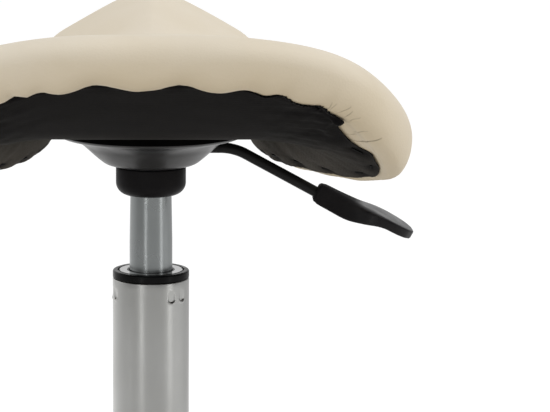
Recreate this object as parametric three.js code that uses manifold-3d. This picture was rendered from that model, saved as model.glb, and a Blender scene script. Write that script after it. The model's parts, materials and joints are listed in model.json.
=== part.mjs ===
// A saddle stool: an upholstered saddle seat on a gas-sprung column, with a release lever under
// the seat's right side and a pressed five-star base on twin-wheel casters.
// Millimetres, +Z up. The origin is on the floor under the column's axis, +Y is the way the
// sitter faces and +X is the sitter's right. The column stands at its lowest height.

import * as THREE from "three";
import { mergeVertices } from "three/addons/utils/BufferGeometryUtils.js";
import Module from "manifold-3d";

const wasm = await Module();
wasm.setup();

// Clearances shared by all pieces
const seatGap = 0.3; // between pieces that rest on, or are welded or pressed into, each other
const runningGap = 0.3; // round shafts, tubes and pins that turn or slide
const cutOverrun = 5; // how far a cutter reaches past what it cuts

// Twin-wheel casters
const wheelRadius = 25;
const wheelWidth = 17;
const wheelSideGap = 0.8;
const wheelTreadRound = 3;
const wheelDishDepth = 2.4;
const wheelDishRadius = 17;
const axleRadius = 3;
const axleInset = 4; // the axle's ends stop this far inside the wheels' outer faces
const casterWeb = 11;
const casterWebRadius = 17;
const casterTrail = 25;
const hoodGap = 1.4;
const hoodWall = 2.4;
const hoodInset = 1.5; // the hood is this much narrower than the wheels, each side
const hoodFrontAngle = 178;
const hoodRearAngle = 24;
const casterBossRadius = 8.5;
const casterHeight = 61; // floor to the top of the swivel boss
const stemPinRadius = 3.2;
const stemPinDepth = 25;
const stemRadius = 5.3;
const stemLength = 19;
const stemFlangeRadius = 7.5;
const stemFlange = 1.9;
const gripRingRise = 0.35;
const gripRingHeight = 3;

// Five-star base
const legCount = 5;
const firstLegAngle = 90;
const legReach = 232; // column axis to caster axis
const legWall = 2.5;
const legHubHalfWidth = 21;
const legEndHalfWidth = 12.5;
const legHubHeight = 50;
const legEndHeight = 21;
const legCornerRound = 9;
const legRise = 4; // how much higher the leg's underside is at the hub than at its end
const legSag = 7; // how far the leg's top line dips below a straight one
const legEndBossRadius = 13;
const legEndRound = 3;
const hubRadius = 31;
const hubHeight = 60;
const hubRound = 3;

// Column tube, its guide bush and the lift inside it
const columnRadius = 25;
const columnWall = 1.6;
const columnTaper = THREE.MathUtils.degToRad(1.43); // self-holding taper, half angle
const columnLength = 249.5;
const columnProtrusion = 2; // the tube's foot below the hub
const columnFloor = 4;
const bushFlange = 5;
const bushSleeve = 76;
const bushRound = 1.2;
const pressureRadius = 14;
const pressureWall = 1.7;
const pressureGland = 18; // rod gland that closes the tube's lower end
const coneLength = 60;
const coneExposed = 50; // guide bush to socket collar, at the lowest height
const liftStroke = 130;
const valveBlock = 70; // solid upper end that holds the release valve
const buttonRadius = 4;
const buttonBore = 22;
const rodRadius = 5;
const rodNeckRadius = 4.2;
const rodTail = 5;
const pistonHeight = 12;
const pistonGap = 0.4;
const clipThickness = 1.6;
const clipGrooveDepth = 1;
const clipRadius = 7.5;
const clipOpening = 5;
const washerRadius = 14;
const washerThickness = 2;
const ballRadius = 2.1;
const ballCount = 6;
const ballCircle = 9.6;
const cageHalfWidth = 2.9;
const cageThickness = 2;
const bufferRadius = 12.5;
const bufferRound = 1.5;

// Under-seat mechanism: taper socket, collar, pressed pan and its bowl-shaped cover
const collarRadius = 22.8;
const collarHeight = 17.5;
const collarRound = 8;
const collarFloor = 3;
const socketRadius = 18;
const socketTop = 26.2; // above the collar's foot, as are the heights below
const socketShoulder = 1.6; // the pan rests on the socket's shoulder
const socketShoulderRadius = 21.5;
const coneTop = 30;
const panSheet = 2.5;
const panWebHeight = 21.8;
const panWebRadius = 28.5;
const panMouthRadius = 44.2;
const panFlangeHeight = 43.3;
const panFlangeRadius = 59.9;
const coverSheet = 1.8;
const coverRimRadius = 62;
const coverLip = 4.9;
const coverProfileRadii = [25, 30, 34.8, 40, 44.5, 50, 60];
const coverProfileHeights = [17.8, 19.3, 23.2, 28.4, 33, 36.2, 38];
const boltCircle = 52.5;
const boltCount = 4;
const boltRadius = 3;
const boltHoleGap = 0.6;
const boltHeadRadius = 5.8;
const boltHeadHeight = 3;
const boltReach = 8.5; // shank above the pan's flange
const teeNutRadius = 9;
const teeNutFlange = 1.5;
const teeNutBarrelRadius = 4.4;
const teeNutBarrel = 7;

// Release lever
const leverRadius = 3.5;
const leverPivotX = 27;
const leverPivotHeight = 30.5;
const leverTipX = -3;
const leverCrank = 8.4; // the inner arm runs this much higher than the pivot
const leverCrankStart = 10;
const leverCrankEnd = 20;
const leverBendX = 54;
const leverDroop = THREE.MathUtils.degToRad(28.6);
const leverBendRound = 12;
const leverSlope = 76; // rod length along the slope, to its end inside the paddle
const leverTravel = THREE.MathUtils.degToRad(3.3);
const slotGap = 1;
const bracketSheet = 1.8;
const bracketInner = 6.5; // from the pivot towards the column
const bracketOuter = 5;
const bracketEarRise = 4;
const pivotPinRadius = 1.6;
const paddleStart = 60; // along the slope from the bend
const paddleLength = 70;
const paddleNeckWidth = 14.5;
const paddleNeckHeight = 14.5;
const paddleBladeWidth = 38;
const paddleBladeHeight = 5;

// Saddle seat
const seatHalfWidth = 161.5;
const seatRearReach = 174;
const seatNoseReach = 190;
const seatBase = 46.3; // underside of the dust cover above the collar's foot
const ridgeHeight = 91; // top of the saddle over the column, above the collar's foot
const cantleRise = 32;
const pommelRise = 26;
const sideReach = 110; // where the fall of the saddle's sides is stated
const sideEdgeHeight = 13; // lowest line of the side edges above the collar's foot
const seatEdgeHeight = 80; // what the shares of the edge's heights are shares of
const edgeRoll = 24; // plan depth of the rolled edge
const edgeTuck = 16; // the roll's lowest line, in from the outline
const coverSkin = 1.5;
const coverMargin = 36; // the cover is turned under to here, in from the outline
const marginEase = 6;
const dustSheet = 1;
const dustInset = 21;
const dustDrop = 1.5; // the dust cover's edge stays this far above the roll's lowest line
const shellInset = 24;
const shellThickness = 9;
const mountMarginRear = 3; // flat underside beyond the mechanism's cover
const mountMarginFront = 23;
const mountMarginSide = 1; // at the least
const mountFlatShare = 0.56; // of the reach to the side
const outlineSteps = 36;

// Colours, roughness and metalness
const finish = {
  cream: [0xd9cdb8, 0.55, 0],
  foam: [0xe8dfa8, 0.95, 0],
  ply: [0xb98f5e, 0.8, 0],
  dust: [0x1b1b1d, 0.95, 0],
  chrome: [0xd0d0cc, 0.18, 1],
  steel: [0x9b9ea0, 0.35, 1],
  painted: [0x202022, 0.45, 0.3],
  plastic: [0x1c1c1e, 0.55, 0],
  rubber: [0x2b2b2b, 0.9, 0],
  wheel: [0x17171a, 0.6, 0],
};

// Heights worked out from the sizes above
const hubFoot = casterHeight + stemFlange + seatGap + legRise;
const legEndFoot = casterHeight + 2 * seatGap + stemFlange;
const columnFoot = hubFoot - columnProtrusion;
const columnTop = columnFoot + columnLength;
const bushTop = columnTop + seatGap + bushFlange;
const collarFoot = bushTop + coneExposed;
const columnTaperTop = hubFoot + hubHeight;
const coneTopZ = collarFoot + coneTop;
const buttonTopZ = collarFoot + leverPivotHeight + leverCrank - leverRadius - seatGap;
const buttonPress = leverPivotX * Math.sin(leverTravel); // how far the lever's tip pushes the button down
const coneFoot = coneTopZ - coneLength;
const lowerWasherFoot = columnFoot + columnFloor + seatGap;
const cageMiddle = lowerWasherFoot + washerThickness + seatGap + ballRadius;
const upperWasherFoot = cageMiddle + ballRadius + seatGap;
const rodShoulder = upperWasherFoot + washerThickness + seatGap;
const pressureFoot = rodShoulder + bufferRadius + seatGap;
const pistonTop = pressureFoot + pressureGland + liftStroke + 2 * pistonHeight;
const pressureBore = pressureRadius - pressureWall;
const bracketHalfWidth = leverRadius + 2 * runningGap + bracketSheet;
const wheelSides = 16;
const axleZ = wheelRadius * Math.cos(Math.PI / wheelSides); // a flat of the tread is on the floor

// Shape helpers

// An indexed geometry with shared corners, no flat triangles and its faces pointing out
function closed(geometry) {
  const bare = geometry.clone();
  bare.deleteAttribute("normal");
  bare.deleteAttribute("uv");
  const merged = mergeVertices(bare, 1e-4);
  const place = merged.getAttribute("position");
  const kept = [];
  let volume = 0;
  for (let i = 0; i < merged.index.count; i += 3) {
    const [a, b, c] = [0, 1, 2].map((k) => merged.index.getX(i + k));
    if (a === b || b === c || c === a) continue;
    kept.push(a, b, c);
    const [p, q, r] = [a, b, c].map((k) => new THREE.Vector3().fromBufferAttribute(place, k));
    volume += p.dot(q.cross(r));
  }
  if (volume < 0) kept.reverse();
  return new THREE.BufferGeometry().setAttribute("position", place).setIndex(kept);
}

function solidOf(geometry) {
  const whole = closed(geometry);
  return new wasm.Manifold(
    new wasm.Mesh({
      numProp: 3,
      vertProperties: new Float32Array(whole.getAttribute("position").array),
      triVerts: new Uint32Array(whole.index.array),
    }),
  );
}

function geometryOf(solid) {
  const mesh = solid.getMesh();
  const geometry = new THREE.BufferGeometry();
  geometry.setAttribute("position", new THREE.BufferAttribute(mesh.vertProperties, 3));
  return geometry.setIndex(new THREE.BufferAttribute(mesh.triVerts, 1));
}

function join(...shapes) {
  return geometryOf(shapes.map(solidOf).reduce((a, b) => a.add(b)));
}

function cut(shape, ...tools) {
  return geometryOf(tools.map(solidOf).reduce((a, b) => a.subtract(b), solidOf(shape)));
}

// A body of revolution about Z from [radius, height] pairs, closed on itself or on the axis
function revolve(profile, segments) {
  const points = profile.map(([radius, height]) => new THREE.Vector2(radius, height));
  const onAxis = profile[0][0] === 0 && profile.at(-1)[0] === 0;
  if (!onAxis) points.push(points[0].clone());
  return new THREE.LatheGeometry(points, segments).rotateX(Math.PI / 2);
}

function ring(innerRadius, outerRadius, height, segments) {
  const profile = [
    [innerRadius, 0],
    [outerRadius, 0],
    [outerRadius, height],
    [innerRadius, height],
  ];
  return revolve(profile, segments);
}

// A cylinder standing on the XY plane
function rod(radius, height, segments) {
  const upright = new THREE.CylinderGeometry(radius, radius, height, segments);
  return upright.rotateX(Math.PI / 2).translate(0, 0, height / 2);
}

// A cylinder along Y, centred on the origin
function crossRod(radius, length, segments) {
  return new THREE.CylinderGeometry(radius, radius, length, segments);
}

// Points on a quarter round from angle to angle, in degrees, as [radius, height] pairs
function arc(centreRadius, centreHeight, round, fromAngle, toAngle, steps) {
  return Array.from({ length: steps + 1 }, (_, i) => {
    const a = THREE.MathUtils.degToRad(fromAngle + ((toAngle - fromAngle) * i) / steps);
    return [centreRadius + round * Math.cos(a), centreHeight + round * Math.sin(a)];
  });
}

// How wide a ring of points is
function girth(row) {
  const middle = row.reduce((sum, p) => sum.add(p), new THREE.Vector3()).divideScalar(row.length);
  return row.reduce((sum, p) => sum + p.distanceTo(middle), 0) / row.length;
}

// A closed body through rings of points. A ring of one point is a pole, and an open end is
// closed with a flat face, laid out by the two coordinates that flatAxes names. Every strip
// is split from its narrower ring to its wider one, so that nested bodies stay parallel
function skin(rings, flatAxes = ["y", "z"]) {
  const starts = [];
  rings.reduce((start, row) => (starts.push(start), start + row.length), 0);
  const faces = [];
  for (let j = 0; j + 1 < rings.length; j++) {
    const [near, far] = [rings[j], rings[j + 1]];
    const widens = girth(near) <= girth(far);
    const around = Math.max(near.length, far.length);
    for (let i = 0; i < around; i++) {
      const next = (i + 1) % around;
      const [a, b] = [i, next].map((k) => starts[j] + (k % near.length));
      const [c, d] = [i, next].map((k) => starts[j + 1] + (k % far.length));
      if (near.length === 1) faces.push(a, d, c);
      else if (far.length === 1) faces.push(a, b, d);
      else if (widens) faces.push(a, b, d, a, d, c);
      else faces.push(a, b, c, b, d, c);
    }
  }
  for (const end of [0, rings.length - 1]) {
    if (rings[end].length === 1) continue;
    const outline = rings[end].map((p) => new THREE.Vector2(p[flatAxes[0]], p[flatAxes[1]]));
    const forward = THREE.ShapeUtils.area(outline) > 0;
    const order = outline.map((_, i) => (forward ? i : outline.length - 1 - i));
    for (const triangle of THREE.ShapeUtils.triangulateShape(order.map((i) => outline[i]), [])) {
      const ids = triangle.map((i) => starts[end] + order[i]);
      faces.push(...((end === 0) === forward ? ids.reverse() : ids));
    }
  }
  return new THREE.BufferGeometry().setFromPoints(rings.flat()).setIndex(faces);
}

const root = new THREE.Group();

function part(name, geometry, look, parent = root) {
  const [color, roughness, metalness] = finish[look];
  const material = new THREE.MeshStandardMaterial({ color, roughness, metalness });
  const mesh = new THREE.Mesh(closed(geometry), material);
  mesh.name = name;
  parent.add(mesh);
  return mesh;
}

// Casters

function wheel() {
  const half = wheelWidth / 2;
  const round = wheelTreadRound;
  const bore = axleRadius + runningGap;
  const profile = [
    [bore, -half],
    [wheelRadius, -half],
    [wheelRadius, half - round],
    [wheelRadius - round, half],
    [wheelDishRadius, half - wheelDishDepth],
    [bore, half - wheelDishDepth],
  ];
  // Half a facet's turn puts a flat of the tread on the floor
  return revolve(profile, wheelSides).rotateZ(Math.PI / wheelSides).rotateX(-Math.PI / 2);
}

function casterHousing() {
  const innerHood = wheelRadius + hoodGap;
  const outerHood = innerHood + hoodWall;
  const halfHood = casterWeb / 2 + wheelSideGap + wheelWidth - hoodInset;
  const [front, rear] = [hoodFrontAngle, hoodRearAngle].map(THREE.MathUtils.degToRad);
  const arch = new THREE.Shape()
    .absarc(casterTrail, axleZ, outerHood, rear, front, false)
    .absarc(casterTrail, axleZ, innerHood, front, rear, true);
  const web = new THREE.Shape()
    .moveTo(-casterBossRadius, casterHeight - hoodWall)
    .lineTo(-casterBossRadius, axleZ + casterBossRadius)
    .lineTo(casterTrail - casterWebRadius, axleZ)
    .absarc(casterTrail, axleZ, casterWebRadius, Math.PI, 2.2 * Math.PI, false)
    .lineTo(casterTrail, axleZ + innerHood)
    .lineTo(casterBossRadius, casterHeight - hoodWall);
  const along = (shape, halfWidth, curveSegments) =>
    new THREE.ExtrudeGeometry(shape, { depth: 2 * halfWidth, bevelEnabled: false, curveSegments })
      .rotateX(Math.PI / 2)
      .translate(0, halfWidth, 0);
  const bossHeight = casterHeight - axleZ - innerHood;
  const boss = rod(casterBossRadius, bossHeight, 12).translate(0, 0, casterHeight - bossHeight);
  const body = join(along(arch, halfHood, 6), along(web, casterWeb / 2, 5), boss);
  const pinBore = rod(stemPinRadius + runningGap, stemPinDepth + cutOverrun, 10);
  const axleBore = crossRod(axleRadius + seatGap, casterWeb + cutOverrun, 10);
  return cut(
    body,
    pinBore.translate(0, 0, casterHeight - stemPinDepth - seatGap),
    axleBore.translate(casterTrail, 0, axleZ),
  );
}

function casterStem() {
  const foot = casterHeight + seatGap;
  const shoulder = foot + stemFlange;
  const top = shoulder + stemLength;
  const middle = (shoulder + top) / 2;
  const grip = stemRadius + gripRingRise;
  const profile = [
    [0, casterHeight - stemPinDepth],
    [stemPinRadius, casterHeight - stemPinDepth],
    [stemPinRadius, foot],
    [stemFlangeRadius, foot],
    [stemFlangeRadius, shoulder],
    [stemRadius, shoulder],
    [stemRadius, middle - gripRingHeight / 2],
    [grip, middle],
    [stemRadius, middle + gripRingHeight / 2],
    [stemRadius, top],
    [0, top],
  ];
  return revolve(profile, 10);
}

function addCaster(number, legAngle) {
  const caster = new THREE.Group();
  caster.position.set(legReach * Math.cos(legAngle), legReach * Math.sin(legAngle), 0);
  caster.rotation.z = -Math.PI / 2;
  root.add(caster);
  const name = `caster_${number}`;
  part(`${name}_stem`, casterStem(), "steel", caster);
  part(`${name}_housing`, casterHousing(), "plastic", caster);
  const offset = casterWeb / 2 + wheelSideGap + wheelWidth / 2;
  const axle = crossRod(axleRadius, 2 * (offset + wheelWidth / 2 - axleInset), 12);
  part(`${name}_axle`, axle, "steel", caster).position.set(casterTrail, 0, axleZ);
  for (const [side, sign] of [["inner", 1], ["outer", -1]]) {
    const disc = part(`${name}_wheel_${side}`, wheel(), "wheel", caster);
    disc.position.set(casterTrail, sign * offset, axleZ);
    disc.rotation.x = sign > 0 ? 0 : Math.PI;
  }
}

// Five-star base

// One pressed leg as an upside-down channel along +X, from inside the hub wall to its end boss
function leg() {
  const start = columnRadius + legWall;
  const shares = [0, 0.25, 0.5, 0.75, 1];
  const channel = (share) => {
    const x = THREE.MathUtils.lerp(start, legReach, share);
    const half = THREE.MathUtils.lerp(legHubHalfWidth, legEndHalfWidth, share);
    const foot = legEndFoot + THREE.MathUtils.lerp(legRise, 0, share);
    const straight = THREE.MathUtils.lerp(legHubHeight, legEndHeight, share);
    const top = foot + straight - 4 * legSag * share * (1 - share);
    const arch = (inset) => {
      const round = legCornerRound - inset;
      const [side, crown] = [half - inset, top - inset];
      const corner = [0, 45, 90].map(THREE.MathUtils.degToRad).map((a) => [
        side - round + round * Math.cos(a),
        crown - round + round * Math.sin(a),
      ]);
      const right = [[side, foot], ...corner];
      return [...right, ...right.toReversed().map(([y, z]) => [-y, z])];
    };
    const loop = [...arch(0), ...arch(legWall).reverse()];
    return loop.map(([y, z]) => new THREE.Vector3(x, y, z));
  };
  const boss = revolve(
    [
      [0, legEndFoot],
      [legEndBossRadius, legEndFoot],
      [legEndBossRadius, legEndFoot + legEndHeight - legEndRound],
      [legEndBossRadius - legEndRound, legEndFoot + legEndHeight],
      [0, legEndFoot + legEndHeight],
    ],
    16,
  );
  return join(skin(shares.map(channel)), boss.translate(legReach, 0, 0));
}

function columnRadiusAt(z) {
  return columnRadius - Math.max(0, columnTaperTop - z) * Math.tan(columnTaper);
}

function starBase() {
  const top = hubFoot + hubHeight;
  const hub = revolve(
    [
      [0, hubFoot],
      [hubRadius, hubFoot],
      [hubRadius, top - hubRound],
      [hubRadius - hubRound, top],
      [0, top],
    ],
    32,
  );
  const gap = seatGap / Math.cos(Math.PI / 32);
  const bore = revolve(
    [
      [0, hubFoot - cutOverrun],
      [columnRadiusAt(hubFoot - cutOverrun) + gap, hubFoot - cutOverrun],
      [columnRadius + gap, top],
      [columnRadius + gap, top + cutOverrun],
      [0, top + cutOverrun],
    ],
    32,
  );
  const gripRadius = stemRadius + gripRingRise + seatGap;
  const socket = rod(gripRadius, stemLength + cutOverrun + seatGap, 12);
  socket.translate(legReach, 0, legEndFoot - cutOverrun);
  const angles = Array.from({ length: legCount }, (_, i) => (2 * Math.PI * i) / legCount);
  const legs = angles.map((a) => leg().rotateZ(a));
  const sockets = angles.map((a) => socket.clone().rotateZ(a));
  return cut(join(hub, ...legs), bore, ...sockets);
}

// Column and lift

function columnTube() {
  const inner = (z) => columnRadiusAt(z) - columnWall;
  const floorTop = columnFoot + columnFloor;
  const profile = [
    [rodNeckRadius + runningGap, columnFoot],
    [columnRadiusAt(columnFoot), columnFoot],
    [columnRadius, columnTaperTop],
    [columnRadius, columnTop],
    [columnRadius - columnWall, columnTop],
    [columnRadius - columnWall, columnTaperTop],
    [inner(floorTop), floorTop],
    [rodNeckRadius + runningGap, floorTop],
  ];
  return revolve(profile, 28);
}

function guideBush() {
  const flangeFoot = columnTop + seatGap;
  const sleeve = columnRadius - columnWall - seatGap;
  const bore = pressureRadius + runningGap;
  const profile = [
    [bore, flangeFoot - bushSleeve],
    [sleeve, flangeFoot - bushSleeve],
    [sleeve, flangeFoot],
    [columnRadius, flangeFoot],
    [columnRadius, bushTop - bushRound],
    [columnRadius - bushRound, bushTop],
    [bore, bushTop],
  ];
  return revolve(profile, 28);
}

function coneRadiusAt(z) {
  return pressureRadius - Math.max(0, z - coneFoot) * Math.tan(columnTaper);
}

function pressureTube() {
  const valveFoot = coneTopZ - valveBlock;
  const buttonFoot = coneTopZ - buttonBore - buttonPress - seatGap;
  const glandTop = pressureFoot + pressureGland;
  const profile = [
    [rodRadius + runningGap, pressureFoot],
    [pressureRadius, pressureFoot],
    [pressureRadius, coneFoot],
    [coneRadiusAt(coneTopZ), coneTopZ],
    [buttonRadius + runningGap, coneTopZ],
    [buttonRadius + runningGap, buttonFoot],
    [0, buttonFoot],
    [0, valveFoot],
    [pressureBore, valveFoot],
    [pressureBore, glandTop],
    [rodRadius + runningGap, glandTop],
  ];
  return revolve(profile, 24);
}

function releaseButton() {
  const foot = coneTopZ - buttonBore;
  const profile = [
    [0, foot],
    [buttonRadius, foot],
    [buttonRadius, buttonTopZ - buttonRadius / 4],
    [buttonRadius / 2, buttonTopZ],
    [0, buttonTopZ],
  ];
  return revolve(profile, 14);
}

function pistonRod() {
  const grooveTop = columnFoot;
  const grooveFoot = columnFoot - clipThickness - 2 * seatGap;
  const grooveRadius = rodNeckRadius - clipGrooveDepth;
  const headRadius = pressureBore - pistonGap;
  const profile = [
    [0, columnFoot - rodTail],
    [rodNeckRadius, columnFoot - rodTail],
    [rodNeckRadius, grooveFoot],
    [grooveRadius, grooveFoot],
    [grooveRadius, grooveTop],
    [rodNeckRadius, grooveTop],
    [rodNeckRadius, rodShoulder],
    [rodRadius, rodShoulder],
    [rodRadius, pistonTop - pistonHeight],
    [headRadius, pistonTop - pistonHeight],
    [headRadius, pistonTop],
    [0, pistonTop],
  ];
  return revolve(profile, 14);
}

function retainingClip() {
  const inner = rodNeckRadius - clipGrooveDepth + seatGap;
  const opening = Math.asin(clipOpening / 2 / clipRadius);
  const innerOpening = Math.asin(Math.min(1, clipOpening / 2 / inner));
  const outline = new THREE.Shape()
    .absarc(0, 0, clipRadius, opening, 2 * Math.PI - opening, false)
    .absarc(0, 0, inner, 2 * Math.PI - innerOpening, innerOpening, true);
  const options = { depth: clipThickness, bevelEnabled: false, curveSegments: 14 };
  return new THREE.ExtrudeGeometry(outline, options);
}

function bearingCage() {
  const inner = ballCircle - cageHalfWidth;
  const outer = ballCircle + cageHalfWidth;
  const web = ring(inner, outer, cageThickness, 14).translate(0, 0, -cageThickness / 2);
  const balls = Array.from({ length: ballCount }, (_, i) =>
    new THREE.IcosahedronGeometry(ballRadius, 0)
      .translate(ballCircle, 0, 0)
      .rotateZ((2 * Math.PI * i) / ballCount),
  );
  return join(web, ...balls);
}

function buffer() {
  const top = pressureFoot - seatGap;
  const profile = [
    [rodRadius + runningGap, rodShoulder],
    [bufferRadius, rodShoulder],
    [bufferRadius, top - bufferRound],
    [bufferRadius - bufferRound, top],
    [rodRadius + runningGap, top],
  ];
  return revolve(profile, 20);
}

// Under-seat mechanism

function socketCollar() {
  const hole = coneRadiusAt(collarFoot) + 2 * runningGap;
  const top = collarFoot + collarHeight;
  const well = socketRadius + seatGap;
  const round = collarRadius - collarRound;
  const profile = [
    [hole, collarFoot],
    ...arc(round, collarFoot + collarRound, collarRound, -90, 0, 3),
    [collarRadius, top],
    [well, top],
    [well, collarFoot + collarFloor],
    [hole, collarFoot + collarFloor],
  ];
  return revolve(profile, 28);
}

function taperSocket() {
  const foot = collarFoot + collarFloor + seatGap;
  const top = collarFoot + socketTop;
  const shoulderTop = collarFoot + panWebHeight - seatGap;
  const profile = [
    [coneRadiusAt(foot) + seatGap, foot],
    [socketRadius, foot],
    [socketRadius, shoulderTop - socketShoulder],
    [socketShoulderRadius, shoulderTop - socketShoulder],
    [socketShoulderRadius, shoulderTop],
    [socketRadius, shoulderTop],
    [socketRadius, top],
    [coneRadiusAt(top) + seatGap, top],
  ];
  return revolve(profile, 24);
}

// Room for the lever through the cover's wall, all the way up its travel
function leverSlot() {
  const rise = (coverRimRadius - leverPivotX) * Math.sin(leverTravel);
  const half = leverRadius + slotGap;
  const reach = leverBendX - leverPivotX;
  const slot = new THREE.BoxGeometry(reach, 2 * half, 2 * half + rise);
  return slot.translate(leverPivotX + reach / 2, 0, collarFoot + leverPivotHeight + rise / 2);
}

// The window in the pan's wall that the lever's bracket stands in
function bracketWindow() {
  const half = bracketHalfWidth + seatGap;
  const foot = panWebHeight + panSheet;
  const height = leverPivotHeight + bracketEarRise + 2 * seatGap - foot;
  const reach = leverBendX - leverPivotX + bracketInner;
  return new THREE.BoxGeometry(reach, 2 * half, height).translate(
    leverPivotX - bracketInner + reach / 2,
    0,
    collarFoot + foot + height / 2,
  );
}

function boltHoles(radius, foot, height) {
  return Array.from({ length: boltCount }, (_, i) => {
    const angle = (2 * Math.PI * (i + 0.5)) / boltCount;
    return rod(radius, height, 12).translate(
      boltCircle * Math.cos(angle),
      boltCircle * Math.sin(angle),
      foot,
    );
  });
}

function mountingPan() {
  const web = collarFoot + panWebHeight;
  const flange = collarFoot + panFlangeHeight;
  const bore = socketRadius + seatGap;
  const lean = Math.atan2(panMouthRadius - panWebRadius, panFlangeHeight - panWebHeight);
  const wallInset = panSheet / Math.cos(lean);
  const floorInset = wallInset - panSheet * Math.tan(lean);
  const profile = [
    [bore, web],
    [panWebRadius, web],
    [panMouthRadius, flange],
    [panFlangeRadius, flange],
    [panFlangeRadius, flange + panSheet],
    [panMouthRadius - floorInset, flange + panSheet],
    [panWebRadius - floorInset, web + panSheet],
    [bore, web + panSheet],
  ];
  const holes = boltHoles(boltRadius + boltHoleGap, flange - cutOverrun, 2 * cutOverrun + panSheet);
  return cut(revolve(profile, 30), bracketWindow(), ...holes);
}

function mechanismCover() {
  const course = coverProfileRadii.map(
    (radius, i) => new THREE.Vector2(radius, collarFoot + coverProfileHeights[i]),
  );
  const curve = new THREE.SplineCurve(course);
  const steps = 6;
  const outer = [];
  const inner = [];
  for (let i = 0; i <= steps; i++) {
    const at = curve.getPoint(i / steps);
    const along = curve.getTangent(i / steps);
    outer.push([at.x, at.y]);
    if (i % 2 === 0) inner.push([at.x - along.y * coverSheet, at.y + along.x * coverSheet]);
  }
  const eye = socketRadius + 2 * seatGap;
  const floor = collarFoot + collarHeight + seatGap;
  const lipTop = collarFoot + seatBase - seatGap;
  const lipInner = coverRimRadius - coverSheet;
  const profile = [
    [eye, floor],
    ...outer,
    [coverRimRadius, lipTop - coverLip],
    [coverRimRadius, lipTop],
    [lipInner, lipTop],
    [lipInner, lipTop - coverLip + coverSheet / 2],
    ...inner.toReversed(),
    [eye, floor + coverSheet],
  ];
  return cut(revolve(profile, 30), leverSlot());
}

function pivotBracket() {
  const foot = collarFoot + panWebHeight + panSheet + seatGap;
  const top = collarFoot + leverPivotHeight + bracketEarRise;
  const gap = bracketHalfWidth - bracketSheet;
  const channel = new THREE.Shape()
    .moveTo(-bracketHalfWidth, foot)
    .lineTo(bracketHalfWidth, foot)
    .lineTo(bracketHalfWidth, top)
    .lineTo(gap, top)
    .lineTo(gap, foot + bracketSheet)
    .lineTo(-gap, foot + bracketSheet)
    .lineTo(-gap, top)
    .lineTo(-bracketHalfWidth, top);
  const options = { depth: bracketInner + bracketOuter, bevelEnabled: false };
  const body = new THREE.ExtrudeGeometry(channel, options)
    .rotateX(Math.PI / 2)
    .rotateZ(Math.PI / 2)
    .translate(leverPivotX - bracketInner, 0, 0);
  const bore = crossRod(pivotPinRadius + seatGap, 2 * bracketHalfWidth + cutOverrun, 12);
  return cut(body, bore.translate(leverPivotX, 0, collarFoot + leverPivotHeight));
}

function pivotPin() {
  const pin = crossRod(pivotPinRadius, 2 * bracketHalfWidth, 10);
  return pin.translate(leverPivotX, 0, collarFoot + leverPivotHeight);
}

// A point on the lever's sloping centre line, at a distance along it from the bend
function onSlope(distance, lift = 0) {
  const [c, s] = [Math.cos(leverDroop), Math.sin(leverDroop)];
  return new THREE.Vector3(
    leverBendX + distance * c + lift * s,
    0,
    collarFoot + leverPivotHeight - distance * s + lift * c,
  );
}

// Rings of a round bar whose centre line is a list of points in the XZ plane
function barRings(points, radius, sides) {
  return points.map((point, i) => {
    const before = points[Math.max(i - 1, 0)];
    const after = points[Math.min(i + 1, points.length - 1)];
    const along = after.clone().sub(before).normalize();
    const across = new THREE.Vector3(-along.z, 0, along.x);
    return Array.from({ length: sides }, (_, k) => {
      const a = (2 * Math.PI * (k + 0.5)) / sides;
      const upward = across.clone().multiplyScalar(radius * Math.sin(a));
      return point.clone().add(upward).add(new THREE.Vector3(0, radius * Math.cos(a), 0));
    });
  });
}

function leverRod() {
  const level = collarFoot + leverPivotHeight;
  const raised = level + leverCrank;
  const at = (x, z) => new THREE.Vector3(x, 0, z);
  const crankMiddle = (leverCrankStart + leverCrankEnd) / 2;
  const crank = new THREE.CubicBezierCurve3(
    at(leverCrankStart, raised),
    at(crankMiddle, raised),
    at(crankMiddle, level),
    at(leverCrankEnd, level),
  );
  const bendStart = at(leverBendX - leverBendRound, level);
  const bend = new THREE.QuadraticBezierCurve3(bendStart, onSlope(0), onSlope(leverBendRound));
  const tip = at(leverTipX, raised);
  const course = [tip, ...crank.getPoints(5), ...bend.getPoints(4), onSlope(leverSlope)];
  const bore = crossRod(pivotPinRadius + runningGap, 4 * leverRadius, 12);
  return cut(skin(barRings(course, leverRadius, 12)), bore.translate(leverPivotX, 0, level));
}

// The paddle's sections: share of its length, share of the way from neck to blade, share of
// its full size
const paddleShares = [
  [0, 0, 0.86],
  [0.025, 0, 0.97],
  [0.09, 0, 1],
  [0.32, 0.02, 1],
  [0.42, 0.2, 1],
  [0.52, 0.56, 1],
  [0.63, 0.89, 1],
  [0.76, 1, 0.99],
  [0.88, 1, 0.88],
  [0.96, 1, 0.6],
  [1, 1, 0.26],
];

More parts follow.
